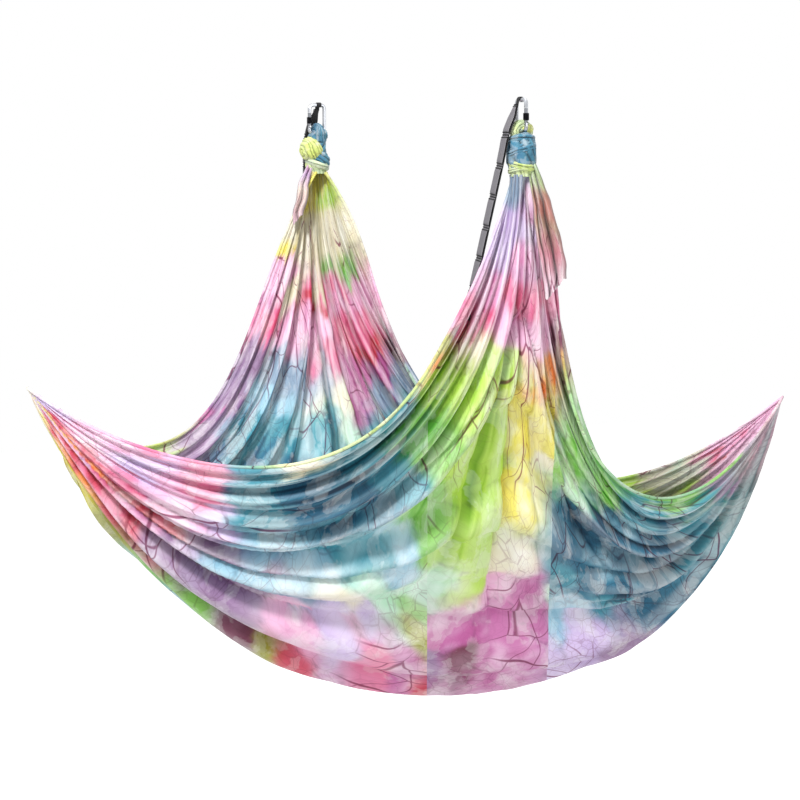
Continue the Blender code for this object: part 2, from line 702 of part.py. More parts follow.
def knots():
    """The two knots and the cloth's free ends below them."""
    front = MIDDLE + (0, -SPAN / 2, 0)
    back = MIDDLE + (0, SPAN / 2, 0)
    barrel = ((-0.055, 0.0250), (-0.048, 0.0285), (-0.036, 0.0300), (-0.030, 0.0335),
              (-0.010, 0.0335), (0.012, 0.0315), (0.026, 0.0285), (0.034, 0.0240))
    knot_solid("front_knot", front, barrel,
               ((0.030, 0.002, -1.0, 0.10), (-0.033, 0.004, 2.2, 0.14)), (), 0.0,
               (0.25, 0.45, 0.60))
    slim = ((-0.055, 0.0250), (-0.048, 0.0265), (-0.036, 0.0255), (-0.030, 0.0280),
            (-0.010, 0.0280), (0.012, 0.0265), (0.026, 0.0240), (0.034, 0.0200))
    knot_solid("back_knot", back, slim, ((-0.034, 0.010, -2.0, 0.12),),
               (((-0.0150, 0.0050, 0.004), (0.0330, 0.0290, 0.0300), 20),
                ((0.0040, -0.0010, -0.026), (0.0310, 0.0300, 0.0250), 28)), math.pi / 2,
               (0.70, 0.78, 0.30))
    drop = np.array([(0.0300, -0.0210, -0.050), (0.0315, -0.0290, -0.085), (0.0350, -0.0350, -0.125),
                     (0.0505, -0.0460, -0.225), (0.0640, -0.0560, -0.050 - FRONT_TAIL_L)])
    tail("front_tail", front + drop, (0.014, 0.036, 0.042), (-0.5, -0.866, 0), 3, (0.60, 0.45, 0.40))
    drop = np.array([(-0.0306, -0.0082, -0.040), (-0.056, -0.026, -0.095),
                     (-0.074, -0.042, -0.040 - BACK_TAIL_L)])
    tail("back_tail", back + drop, (0.016, 0.026, 0.034), (-0.6, -0.8, 0), 2, (0.75, 0.60, 0.80))


carabiner("front", FRONT_TURN)
carabiner("back", BACK_TURN)
strap("front", FRONT_TURN, front_tail_line)
strap("back", BACK_TURN, back_tail_line)
cloth()
knots()
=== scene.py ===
# %% [markdown]
# # An aerial hammock, dressed for its picture
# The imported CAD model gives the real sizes, the joints and the metal parts. This script adds
# the soft look: one wide sheet of printed jersey, its knots, hems and tails, and the webbing
# straps. Everything is in metres and in the model's own frame, so nothing has to be fitted.

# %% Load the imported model
import math
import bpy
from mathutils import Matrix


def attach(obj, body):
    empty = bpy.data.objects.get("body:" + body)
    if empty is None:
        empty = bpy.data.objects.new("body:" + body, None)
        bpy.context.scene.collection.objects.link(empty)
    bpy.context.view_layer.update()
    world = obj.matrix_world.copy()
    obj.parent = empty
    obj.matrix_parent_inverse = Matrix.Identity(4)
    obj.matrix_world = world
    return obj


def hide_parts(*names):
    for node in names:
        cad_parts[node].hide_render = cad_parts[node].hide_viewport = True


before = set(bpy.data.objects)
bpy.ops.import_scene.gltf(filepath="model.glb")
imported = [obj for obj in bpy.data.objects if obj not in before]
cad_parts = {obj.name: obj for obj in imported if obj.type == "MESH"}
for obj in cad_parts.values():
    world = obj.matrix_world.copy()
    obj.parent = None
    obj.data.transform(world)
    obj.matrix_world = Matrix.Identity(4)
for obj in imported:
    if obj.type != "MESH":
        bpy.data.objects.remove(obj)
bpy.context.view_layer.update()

from types import SimpleNamespace

import bpy
import numpy as np
from mathutils import Matrix, Vector

# %% [markdown]
# ## The main sizes
# The same sizes as in the part's source are repeated here, because this script reads nothing
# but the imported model. The middle between the two knots is the point that the cloth is
# measured from.

# %% Sizes
SPAN = 1.000                                # between the two hang points
KNOT_DROP = 0.1063                          # from a hang point down to the knot's middle
SEAT_OFF = 0.007                            # from a hang point to the carabiner's centre line
BAR_R, GAP = 0.0045, 0.0003                 # the carabiner's bar; room between resting pieces
CROWN_Z = 0.0037
BOTTOM_Z = CROWN_Z - 0.070
MIDDLE = np.array([0.0, SEAT_OFF + SPAN / 2, -KNOT_DROP])
FRONT = MIDDLE - (0, SPAN / 2, 0)
BACK = MIDDLE + (0, SPAN / 2, 0)
KNOT_FOOT, KNOT_TOP = -0.0550, 0.0340       # from the knot's middle
print("knot centres:", FRONT, BACK)

# %% [markdown]
# ## Camera
# The camera stands where the photograph was taken from: 7.5 m away, turned 28.6 degrees from
# the model's front, level with the knots and looking down a little. A long lens keeps the two
# knots almost the same size.

# %% Camera
AZIMUTH, DISTANCE = math.radians(28.63), 7.494
CAMERA_DROP = 0.001                         # how far the camera stands below the knots
PIXEL = 0.00236                             # metres in a pixel at the middle
PICTURE_W, SENSOR_W = 800.0, 36.0           # in pixels, in millimetres
FOCAL = DISTANCE / PIXEL                    # in pixels
AIM_X, AIM_Y = 13.05, 250.14                # pixels from the knots' middle to the picture's


def link(name, data):
    """A new object in the scene."""
    obj = bpy.data.objects.new(name, data)
    bpy.context.scene.collection.objects.link(obj)
    return obj


def aimed(place, look):
    """Matrix of a camera or lamp that looks along a direction."""
    return Matrix.Translation(place) @ look.to_track_quat("-Z", "Y").to_matrix().to_4x4()


def photo_camera():
    """Camera at the photograph's viewpoint."""
    data = bpy.data.cameras.new("photo_camera")
    data.sensor_width, data.clip_end = SENSOR_W, 100.0
    data.lens = FOCAL * SENSOR_W / PICTURE_W
    look = Vector((math.sin(AZIMUTH), math.cos(AZIMUTH), 0.0))
    place = Vector(MIDDLE) - DISTANCE * look - Vector((0, 0, CAMERA_DROP))
    look = Matrix.Rotation(math.atan(AIM_X / FOCAL), 3, "Z") @ look
    right = look.cross(Vector((0, 0, 1))).normalized()
    look = Matrix.Rotation(-math.atan(AIM_Y / FOCAL), 3, right) @ look
    cam = link("photo_camera", data)
    cam.matrix_world = aimed(place, look)
    bpy.context.scene.camera = cam
    return cam


camera = photo_camera()
print("camera at", tuple(round(v, 3) for v in camera.matrix_world.translation))

# %% [markdown]
# ## Helpers for grids
# Every soft piece is made of grids of points from a formula. One helper turns grids into a
# mesh with a colour for each point, and smooth noise made of a few sine waves gives each fold
# its own character without any random file.

# %% Grid helpers
WAVE_WEIGHTS = [0.55 ** i for i in range(3)]


def smooth(x, start=0.0, width=1.0):
    """Smooth step from 0 at the start to 1 a width further on; a negative width goes down."""
    x = np.clip((x - start) / width, 0.0, 1.0)
    return x * x * (3 - 2 * x)


def waves(seed, *coords):
    """Smooth noise in about -1..1: a few sine waves of random direction and phase."""
    rng = np.random.default_rng(seed)
    total, size = 0.0, 1.0
    for weight in WAVE_WEIGHTS:
        for _ in range(3):
            turn = rng.normal(size=len(coords)) * size
            angle = sum(t * c for t, c in zip(turn, coords)) + rng.uniform(0, 7)
            total = total + np.sin(angle) * weight
        size *= 2.1
    return total / (3 * sum(WAVE_WEIGHTS))


def unit(v):
    """Vectors at length 1."""
    return v / np.maximum(np.linalg.norm(v, axis=-1, keepdims=True), 1e-12)


def square_to(v, along):
    """What is left of vectors without their part along unit vectors."""
    return v - along * (v * along).sum(-1, keepdims=True)


def length_of(line):
    """Distance along a line at each of its points."""
    return np.concatenate([[0], np.cumsum(np.linalg.norm(np.diff(line, axis=0), axis=1))])


def area_of(grid):
    """Area of a grid's surface."""
    d1, d2 = np.diff(grid, axis=0)[:, :-1], np.diff(grid, axis=1)[:-1]
    return float(np.linalg.norm(np.cross(d1, d2), axis=-1).sum())


def grid_faces(rows, cols, wrap):
    """Quads of a grid that is stored row by row; wrap joins the last column to the first."""
    i, j = np.meshgrid(np.arange(rows - 1), np.arange(cols if wrap else cols - 1), indexing="ij")
    a, b = i * cols + j, i * cols + (j + 1) % cols
    return np.stack([a, b, b + cols, a + cols], -1).reshape(-1, 4)


def cap_faces(rows, cols):
    """Quads that close the first and the last ring of a tube."""
    i = np.arange(cols // 2 - 1)
    cap = np.stack([i, i + 1, cols - 2 - i, cols - 1 - i], -1)
    return np.concatenate([cap[:, ::-1], cap + (rows - 1) * cols])


def flat_list(arrays, width):
    """Arrays one after the other, as rows of single floats."""
    return np.concatenate([np.reshape(a, (-1, width)) for a in arrays]).astype(np.float32)


def grid_piece(name, grids, uvs, dyes=(), past=None, wrap=True, flip=False, caps=False):
    """A smooth mesh object from grids of points, rows by columns, with its UV map.

    dyes holds one or two prints, each a list of the grids' colours, with the painted shade and
    painted highlights in them; past is the distance past the print's join."""
    faces, count = [], 0
    for grid in grids:
        rows, cols = grid.shape[:2]
        faces.append(grid_faces(rows, cols, wrap) + count)
        if caps:
            faces.append(cap_faces(rows, cols) + count)
        count += rows * cols
    faces = np.concatenate(faces)[:, ::-1 if flip else 1]
    faces = np.ascontiguousarray(faces, np.int32)
    mesh = bpy.data.meshes.new(name)
    mesh.vertices.add(count)
    mesh.vertices.foreach_set("co", flat_list(grids, 3).ravel())
    mesh.loops.add(faces.size)
    mesh.loops.foreach_set("vertex_index", faces.ravel())
    mesh.polygons.add(len(faces))
    mesh.polygons.foreach_set("loop_start", np.arange(0, faces.size, 4, dtype=np.int32))
    mesh.polygons.foreach_set("use_smooth", np.full(len(faces), True))
    mesh.update(calc_edges=True)
    uv = flat_list(uvs, 2)[faces.ravel()]
    mesh.uv_layers.new(name="cloth").data.foreach_set("uv", uv.ravel())
    if dyes:
        # The layers named dye also hold the painted shade and painted highlights of the folds.
        for layer_name, dye in (("dye", dyes[0]), ("dye_second", dyes[-1])):
            rgba = np.ones((count, 4), np.float32)
            rgba[:, :3] = flat_list(dye, 3)
            layer = mesh.color_attributes.new(layer_name, "FLOAT_COLOR", "POINT")
            layer.data.foreach_set("color", rgba.ravel())
        past = np.full(count, -1.0) if past is None else past.ravel()
        layer = mesh.attributes.new("past_join", "FLOAT", "POINT")
        layer.data.foreach_set("value", past.astype(np.float32))
    mesh.validate()
    return link(name, mesh)


# %% [markdown]
# ## How the sheet hangs
# Without its folds the sheet is a smooth surface. One number, u, runs from the left drawn-out
# tip (-1) to the right one (1). Another, b, runs from the keel at the bottom (0) up to a knot
# (1). Each line of constant u is a Bezier curve from the keel to the ring of cloth under the
# knot, and its control points turn from the middle's to each edge's.

# %% The smooth drape
LEFT_TIP, RIGHT_TIP = (-0.986, -0.029, -0.526), (0.951, -0.160, -0.6085)
BELLY = np.array((0.162, 0.0, -1.308))
# how the keel leaves the belly and comes to a tip: left, right
KEEL_REACH = (-0.561, 0, 0), (0.388, 0, 0)
KEEL_RISE = (0.182, 0, -0.393), (-0.093, 0, -0.405)
# how a line leaves the keel, how it leaves the knot, how it bows: middle, left edge, right edge
RISE = (0, 0.200, 0), (0.247, 0.189, -0.243), (-0.890, 0.428, -0.792)
DROP = (0, -0.004, -0.753), (-0.296, 0.0455, -0.445), (0.300, -0.017, -0.400)
SWAY = (0, -0.169, 0.087), (0.322, 0.140, -0.292), (-0.222, -0.081, 0.4975)
EDGE_POWER, HULL_BOW = 2.09, 0.75
RING_R, RING_ARC = 0.0235, 150.0            # ring of cloth under a knot; degrees to each side
FAN_Z = KNOT_FOOT - 2 * GAP
TUCK = np.array((0.018, -0.010, 0.0))       # the front's left top is tucked in by this much


def bezier(t, *points):
    """Bezier curve through its first and last point."""
    n = len(points) - 1
    return sum(math.comb(n, i) * p * t ** i * (1 - t) ** (n - i) for i, p in enumerate(points))


def side_mix(u, left, right):
    """Pick a control vector by which half of the cloth a point is in."""
    return np.where((u < 0)[..., None], np.array(left), np.array(right))


def hull(u):
    """Keel curve from the left tip by the belly to the right tip."""
    tip = side_mix(u, LEFT_TIP, RIGHT_TIP)
    return bezier(np.abs(u)[..., None], BELLY, BELLY + side_mix(u, *KEEL_REACH),
                  tip + side_mix(u, *KEEL_RISE), tip)


def blended(u, middle, left, right):
    """A control vector that turns from the middle's to each edge's own."""
    s = np.abs(u)[..., None] ** EDGE_POWER
    return np.array(middle) * (1 - s) + side_mix(u, left, right) * s


def drape(u, b, side):
    """Cloth without folds, about MIDDLE: u from tip to tip, b from keel 0 to knot 1."""
    t = (1 - b)[..., None]
    turn = np.radians(RING_ARC) * u
    ring = np.stack([RING_R * np.sin(turn), side * RING_R * np.cos(turn), 0 * u], -1)
    rise, drop, sway = (blended(u, *v) * (1.0, side, 1.0) for v in (RISE, DROP, SWAY))
    keel, first = hull(u), np.array([0, side * SPAN / 2, FAN_Z]) + ring
    mid = (first - ring + drop + keel + rise) / 2 + sway
    point = bezier(t, first, first + drop * HULL_BOW, mid, keel + rise * HULL_BOW, keel)
    if side < 0:
        near_knot = smooth(t, 0.30, -0.20) * t / (t + 0.02)
        point = point + TUCK * near_knot * np.clip(-u, 0, 1)[..., None] ** EDGE_POWER
    return point


def normals(u, b, side):
    """Unit normals that point out of the basket."""
    h = 1e-4
    u0, b0 = np.clip(u, -1 + h, 1 - h), np.clip(b, h, 1 - h)
    du = drape(u0 + h, b0, side) - drape(u0 - h, b0, side)
    db = drape(u0, b0 + h, side) - drape(u0, b0 - h, side)
    return unit(np.cross(du, db) * (-side))


# %% [markdown]
# ## Broad folds
# The CAD solids carry the sheet's main folds. The fine sheet starts from the same folds, so
# that both have one form, and the narrow pleats come on top of them.

# %% Broad folds, as in the CAD solids
LEFT_FOLDS, RIGHT_FOLDS, BELLY_EDGE = 4.25, 3.25, 1.30
FOLD_DEPTH, FOLD_SHARE = 0.030, 0.24
NEAR = 1e-3                                 # step for slopes in the sheet's coordinates


def limited(rise, most):
    """A height that nears its limit smoothly."""
    return rise / np.sqrt(1 + (rise / most) ** 2)


def fold_place(half, g, rho):
    """Sheet coordinates on fold line g (0 edge, 1 knot, 2 keel), rho from the tip."""
    angle = np.pi * g / 4
    a = np.where(g <= 1, np.tan(angle), 1.0) * rho
    b = np.where(g <= 1, 1.0, np.tan(np.pi / 2 - angle)) * rho
    return half * (1 - a), b


def fold_spacing(half, side, g, rho):
    """Distance across the fold lines for one unit of g."""
    g0, r0 = np.clip(g, NEAR, 2 - NEAR), np.clip(rho, NEAR, 1 - NEAR)
    low, high, back, on = (drape(*fold_place(half, g0 + dg, r0 + dr), side)
                           for dg, dr in ((-NEAR, 0), (NEAR, 0), (0, -NEAR), (0, NEAR)))
    return np.linalg.norm(square_to((high - low) / (2 * NEAR), unit(on - back)), axis=-1)


def broad_fold(u, b, side):
    """Height of the main folds: they leave the knots and gather at the tips."""
    half, a = np.where(u < 0, -1.0, 1.0), 1 - np.abs(u)
    g = 4 / np.pi * np.arctan2(a, np.maximum(b, 1e-9))
    spacing, other = (fold_spacing(half, s, g, np.maximum(a, b)) for s in (side, -side))
    spacing = spacing + (other - spacing) * 0.5 * smooth(b, 0.04, -0.04)
    first = np.where(u < 0, LEFT_FOLDS, RIGHT_FOLDS)
    phase = np.where(g < 1, first * g, first + (g - 1) / (BELLY_EDGE - 1))
    under = first + 1 + (first - 1.75) * (g - BELLY_EDGE) / (2 - BELLY_EDGE)
    phase = 2 * np.pi * np.where(g < BELLY_EDGE, phase, under)
    wave = np.sin(phase) + 0.15 * (np.cos(2 * phase) - 1)
    middle = smooth(np.abs(u), 0.30, -0.30)
    wave = wave * (1 - middle) + middle * smooth(b, 0.45, 0.5)
    calm = 1 - 0.6 * np.exp(-(u / 0.45) ** 2 - (b / 0.40) ** 2)
    rise = limited(FOLD_SHARE * spacing / first, FOLD_DEPTH)
    rise = rise * (1 - middle) + middle * FOLD_DEPTH / 3 * smooth(b, 1, -0.35)
    return rise * wave * calm * smooth(b, 1, -0.10)


# %% [markdown]
# ## Pleats and swags
# Two families of narrow folds lie over the broad ones. Pleats leave a knot side by side: in
# the middle of the wall they fall straight and fade, further out they swing over to a tip.
# Swags hang from tip to tip like the rings of a hammock. Each fold is a rounded ridge between
# two sharp valleys, with its own width, height, lean and length, so no two are alike. Its
# valleys get a line of painted shade and its crest a painted highlight.

# %% Pleats and swags
TURN_AT = 0.40          # pleats beyond this share of the knot's ring run into a tip
REACH_BEND = 0.35       # how round the swags' drop is at the middle
SWAG_END = 1.15         # swag number of the first and last swag
PLEAT_LIMIT, SWAG_LIMIT = 0.052, 0.042      # the tallest folds
PLEAT_CREASE, SWAG_CREASE = 0.0024, 0.0035  # how wide the line of painted shade in a valley is


def line_u(k, b):
    """u on the pleat line that leaves the knot at k, at height b."""
    size = np.abs(k)
    return np.sign(k) * (size + (1 - size) * (1 - b) * smooth(size, 0, TURN_AT))


def swag_reach(u):
    """1 under the knots, 0 at the tips: how far a swag has dropped."""
    e, end = REACH_BEND, math.sqrt(1 + REACH_BEND ** 2)
    return (end - np.sqrt(u * u + e * e)) / (end - e)


def ridges(seed, x, count, spread=0.6, sharp=0.6, lean=1.0, low=0.0, high=1.0):
    """Rounded ridges between sharp valleys: shape, own width, distance to a valley, own number.

    Over its width a ridge is sin(pi * share ** lean) ** sharp, so a lean over 1 makes one
    flank steeper. The last result is a function that draws a number for each ridge."""
    widths = np.random.default_rng(seed).uniform(1 - spread, 1 + spread, count)
    edges = low + (high - low) * np.concatenate([[0], np.cumsum(widths)]) / widths.sum()
    index = np.clip(np.searchsorted(edges, x, side="right") - 1, 0, count - 1)
    width = np.diff(edges)[index]
    share = np.clip((x - edges[index]) / width, 0, 1)
    inside = (x >= low) & (x <= high)
    shape = np.where(inside, np.sin(np.pi * share ** lean) ** sharp, 0.0)

    def own(step, least, most):
        return np.random.default_rng(seed + step).uniform(least, most, count)[index]

    return shape, width, np.where(inside, np.minimum(share, 1 - share) * width, 1.0), own


def pleats(k, b, across, half, count, seed, longer, wander):
    """Pleats of one quarter: height and lean in metres, painted valley shade, painted crest
    highlight, and jump of the print.
    """
    size = np.abs(k)
    x = size + wander * waves(seed + 1, 6 * b, 3 * k) * smooth(b, 1, -0.2)
    steps = np.abs(np.gradient(x * across, axis=1))
    fine = np.maximum(PLEAT_CREASE, 0.9 * steps)
    outer, ends = smooth(size, TURN_AT - 0.1, 0.2), smooth(size, 1, -0.03)
    near_tip = 0.95 * smooth(b, 0.55, -0.50) * smooth(size, TURN_AT, 0.15)
    extra = longer * smooth(b, 0, 0.15) * (1 - outer)
    height = lean = crease_shade = crest_highlight = jump = 0.0
    # for each level: how many, how tall, how long at most, how sharp, how they lean
    levels = ((count, 1.0, 0.36, 0.58, 1.5), (2 * count + 5, 0.22, 0.62, 0.58, 1.2),
              (count // 3, 0.30, 0.10, 0.9, 1.0))
    for level, (number, ratio, longest, sharp, slant) in enumerate(levels):
        shape, width, gap, own = ridges(seed + 50 + 20 * level, x, number, 0.62, sharp, slant)
        near_knot = smooth(b - own(1, 0.02, longest) + extra, 0, 0.42)
        share = np.maximum(np.maximum(near_knot, own(2, 0.30, 0.75) * outer), near_tip)
        share = own(3, 0.5, 1.0) * share * ends
        usual = smooth(b - 0.01 - longest / 2 + extra, 0, 0.42)
        usual = 0.75 * np.maximum(np.maximum(usual, 0.525 * outer), near_tip) * ends
        tall, most = across * ratio * (1 + 0.35 * smooth(b, 0.75, 0.2)), PLEAT_LIMIT * ratio
        rise = limited(shape * width * share * tall, most)
        height = height + rise - limited(0.72 / number * usual * tall, most)
        lean = lean + rise * own(4, -0.55, 0.55)
        # Painted shade: a dark line along each valley. Painted highlight: a pale band on each
        # crest.
        if level < 2:
            line = np.exp(-(gap * across / fine) ** 2) * share * (1 - 0.55 * level)
            crease_shade = np.maximum(crease_shade, line * (PLEAT_CREASE / fine) ** 0.6)
            bright = smooth(shape, 0.80, 0.2) * share * own(6, 0.0, 1.0)
            crest_highlight = np.maximum(crest_highlight, bright * (1 - 0.4 * level))
            jump = jump + own(7, -1.0, 1.0) * share * (1 - 0.6 * level)
    return height, lean * half, crease_shade, crest_highlight, jump


def swags(u, b, side, per_level, seed, count):
    """Swags from tip to tip: height in metres, painted valley shade, painted crest highlight, jumps
    of the print up and along.
    """
    size = np.abs(u)
    level = side * b / np.maximum(swag_reach(u), 1e-6)
    x = level + 0.035 * waves(seed + 2, 5 * u, 3 * level)
    shape, width, gap, own = ridges(seed, x, count, 0.70, 0.62, 1.7, -SWAG_END, SWAG_END)
    near = smooth(np.abs(level), SWAG_END, -0.35)
    share = np.where(u < 0, own(4, 0.55, 1.0), own(5, 0.55, 1.0)) * near
    ends = smooth(size - own(3, 0.05, 0.55) * 0.75, 0, 0.45)
    share = share * np.maximum(ends, own(6, 0.10, 0.45))
    usual = 0.78 * np.maximum(smooth(size, 0.22, 0.45), 0.27) * near
    rise = limited(0.95 * shape * width * per_level * share, SWAG_LIMIT)
    mean = 0.95 * 0.74 * (2 * SWAG_END / count) * per_level * usual
    rise = (rise - limited(mean, SWAG_LIMIT)) * (1 - 0.65 * smooth(size, 0.70, 0.25))
    step = np.abs(np.gradient(x, axis=0)) + np.abs(np.gradient(x, axis=1))
    # Painted shade along each valley and a painted highlight on each crest.
    fine = np.maximum(SWAG_CREASE, 0.9 * step * per_level)
    crease_shade = np.exp(-(gap * per_level / fine) ** 2) * (SWAG_CREASE / fine) ** 0.5
    crease_shade = crease_shade * share * smooth(size, 0.3, 0.4)
    crest_highlight = smooth(shape, 0.75, 0.25) * share * own(8, 0.2, 1.0)
    moved = share * smooth(size, 0.15, 0.35)
    up = own(9, -1.0, 1.0) * moved + 0.6 * waves(seed + 10, 13 * level, 1.6 * u)
    return rise, crease_shade, crest_highlight, up, own(11, -1.0, 1.0) * moved


def directions(grid, k):
    """Metres for one unit of k, and the unit direction across the pleats."""
    across = np.gradient(grid, axis=1) / np.gradient(k, axis=1)[..., None]
    across = square_to(across, unit(np.gradient(grid, axis=0)))
    size = np.linalg.norm(across, axis=-1)
    return size, across / np.maximum(size, 1e-9)[..., None]


def metres_per_level(u, b, side):
    """Metres across the swags for one unit of the swag number."""
    here, up = drape(u, b, side), np.clip(b + NEAR * np.maximum(swag_reach(u), 1e-6), 0, 1)
    du = unit(drape(np.clip(u + NEAR, -1, 1), b, side) - here)
    return np.linalg.norm(square_to(drape(u, up, side) - here, du), axis=-1) / NEAR


# %% [markdown]
# ## The folded sheet
# The pieces of the formula come together on one grid for each half: the smooth drape, the
# broad folds, and the pleats and swags over them. Both halves end on one line, the keel.

# %% The two halves
COLS, ROWS = 400, 245
SWAG_SEED, SWAG_COUNT = 5, 22
# front and back, each left and right: how many pleats, seed, how much longer, how they wander
PLEATS = {-1: {-1: (7, 11, 0.0, 0.014), 1: (5, 23, 0.0, 0.014)},
          1: {-1: (8, 31, 0.3, 0.006), 1: (9, 47, 0.3, 0.006)}}


def sheet_coordinates():
    """Knot number k along the columns and height b up the rows."""
    w = np.linspace(-1, 1, COLS)
    size = np.abs(w)
    k = np.sign(w) * np.where(size < 0.45, size * 0.8, 0.36 + (size - 0.45) * 0.64 / 0.55)
    return np.meshgrid(k, np.linspace(0.0, 1, ROWS) ** 1.7)


def sheet_half(side):
    """Front (-1) or back (1) half of the sheet: its arrays on one grid."""
    k, b = sheet_coordinates()
    u = line_u(k, b)
    size, base = np.abs(u), drape(u, b, side)
    n, other = normals(u, b, side), normals(u, b, -side)
    low = smooth(b, 0.02, -0.02)[..., None]
    n = unit(n * (1 - low) + low * (n + other) / 2)
    across, sideways = directions(base, k)
    quarters = [pleats(k, b, across, half, *PLEATS[side][half]) for half in (-1, 1)]
    rise, lean, crease_shade, crest_highlight, jump = (np.where(k < 0, *pair) for pair in zip(*quarters))
    swag, swag_crease_shade, swag_crest_highlight, up, along = swags(
        u, b, side, metres_per_level(u, b, side), SWAG_SEED, SWAG_COUNT)
    fine = 0.0012 * waves(77 + side, 150 * k, 7 * b, 20 * u) * smooth(b, 1, -0.05)
    open_cloth = (1 - 0.90 * smooth(size, 0.84, 0.10)) * (1 - 0.45 * smooth(b, 0.82, 0.15))
    swag = swag * (0.25 + 0.70 * smooth(b, 0, 0.08) if side < 0 else 0.25)
    tip, edge = smooth(size, 1, -0.10), smooth(np.abs(k), 1, -0.02)
    total = broad_fold(u, b, side) + 0.60 * rise * (0.3 + 0.7 * tip) + (swag + fine) * tip
    offset = n * (total * edge)[..., None]
    offset = offset + sideways * (lean * edge * tip * smooth(b, 0, 0.05))[..., None]
    # The valleys carry painted shade and the crests painted highlights; open_cloth weakens the
    # painted shade near the tips and the knots.
    return SimpleNamespace(
        grid=base + offset + MIDDLE, base=base, k=k, u=u, b=b,
        crest_highlight=np.maximum(crest_highlight, 0.8 * swag_crest_highlight),
        crease_shade=np.clip(crease_shade + swag_crease_shade, 0, 1) * open_cloth,
        jump=(0.035 * jump + 0.06 * along, 0.045 * up))


halves = {side: sheet_half(side) for side in (-1, 1)}
for side, half in halves.items():
    print("half", side, "surface", round(area_of(half.grid), 3), "m2, box",
          half.grid.min((0, 1)).round(3), half.grid.max((0, 1)).round(3))
keel = (halves[-1].grid[0] + halves[1].grid[0]) / 2
keel_gap = float(np.linalg.norm(halves[-1].grid[0] - keel, axis=1).max())
print("the halves meet on one line; furthest move to it, mm:", round(keel_gap * 1000, 2))
for half in halves.values():
    half.grid[0] = keel

# %% [markdown]
# ## Dye
# The real cloth is dyed in soft washes that run into each other. Each wash here is a soft spot
# with a place along the width, a height and a colour; a point takes the mean of the spots near
# it. Noise bends the borders, and each pleat shifts them a little, as dye does on folded cloth.

# %% Dye washes
ACROSS = np.array([math.cos(AZIMUTH), -math.sin(AZIMUTH), 0.0])
JOIN_RIGHT, JOIN_LEFT = 0.323, 0.033      # where two lengths of the print meet
# red, green and blue, in hundredths
DYES = {
    "cream": (94, 92, 84), "lemon": (93, 89, 48), "orange": (93, 62, 36), "lime": (74, 86, 42),
    "leaf": (54, 76, 38), "olive": (62, 62, 30), "mint": (80, 93, 84), "sky": (66, 80, 86),
    "teal": (30, 58, 64), "deep": (16, 40, 50), "slate": (56, 64, 72), "lilac": (86, 80, 91),
    "mauve": (64, 54, 66), "pink": (93, 76, 86), "rose": (89, 56, 68), "crimson": (78, 32, 40),
    "magenta": (77, 48, 67), "plum": (46, 26, 34),
}
# across the picture, height and reach of each wash, in centimetres from the knots' middle
WASHES_FRONT = {
    "cream": ((-86, -53, 4), (-18, -102, 8), (32, -72, 6), (76, -67, 6), (21, -98, 8),
              (15, -44, 5), (-25, -70, 5)),
    "lilac": ((-80, -55, 5), (-60, -70, 6), (42, -116, 9), (51, -113, 8), (20, -20, 11),
              (-26, -109, 8), (-46, -82, 7), (-15, -106, 7)),
    "lemon": ((-88, -58, 4), (-83, -67, 4), (25, -61, 8), (29, -68, 7), (24, -80, 9),
              (-2, -52, 4)),
    "orange": ((-80, -66, 3), (-76, -73, 4), (30, -53, 6), (2, -48, 3)),
    "pink": ((-70, -63, 6), (-54, -79, 8), (19, -30, 8), (25, -41, 8), (-34, -109, 6),
             (20, -105, 9), (82, -57, 5), (26, -24, 5), (27, -10, 3.5)),
    "rose": ((-59, -65, 5), (-47, -75, 7), (28, -35, 6), (-18, -115, 8), (79, -62, 6),
             (-65, -76, 5), (7, -38, 5), (15, -36, 4)),
    "crimson": ((-81, -61, 3), (-73, -69, 4), (-68, -78, 4), (-39, -114, 7), (-60, -86, 5),
                (-6, -121, 6), (12, -40, 3)),
    "olive": ((-79, -77, 4), (-72, -85, 5), (4, -45, 5), (-44, -108, 5), (-4, -108, 5)),
    "leaf": ((-63, -95, 6), (6, -64, 9), (3, -84, 9), (42, -66, 7), (54, -74, 7), (70, -75, 7),
             (-1, -106, 6), (-55, -100, 5)),
    "mauve": ((-51, -88, 9), (-42, -99, 9), (60, -115, 6), (6, -118, 6), (80, -73, 4)),
    "slate": ((-28, -104, 7), (22, -9, 5)),
    "teal": ((-34, -80, 10), (-5, -74, 10), (-16, -89, 12), (40, -97, 10), (63, -80, 9),
             (-1, -59, 7), (76, -84, 6), (56, -105, 6)),
    "deep": ((-21, -82, 12), (51, -86, 12), (43, -83, 9), (65, -87, 9), (53, -97, 9),
             (-9, -80, 7), (66, -99, 8)),
    "sky": ((-30, -94, 10), (-39, -92, 8), (-3, -92, 8), (47, -106, 5)),
    "mint": ((-10, -101, 10), (3, -102, 9), (36, -72, 8), (36, -107, 6), (34, -61, 6)),
    "lime": ((11, -91, 10), (14, -57, 8), (15, -74, 10), (19, -49, 7), (13, -101, 8),
             (6, -52, 5)),
    "magenta": ((8, -113, 10), (20, -114, 11), (28, -108, 9), (28, -15, 3.5), (-13, -116, 8)),
    "plum": ((3, -40, 3), (33, -43, 4), (-47, -104, 5), (13, -119, 5)),
}
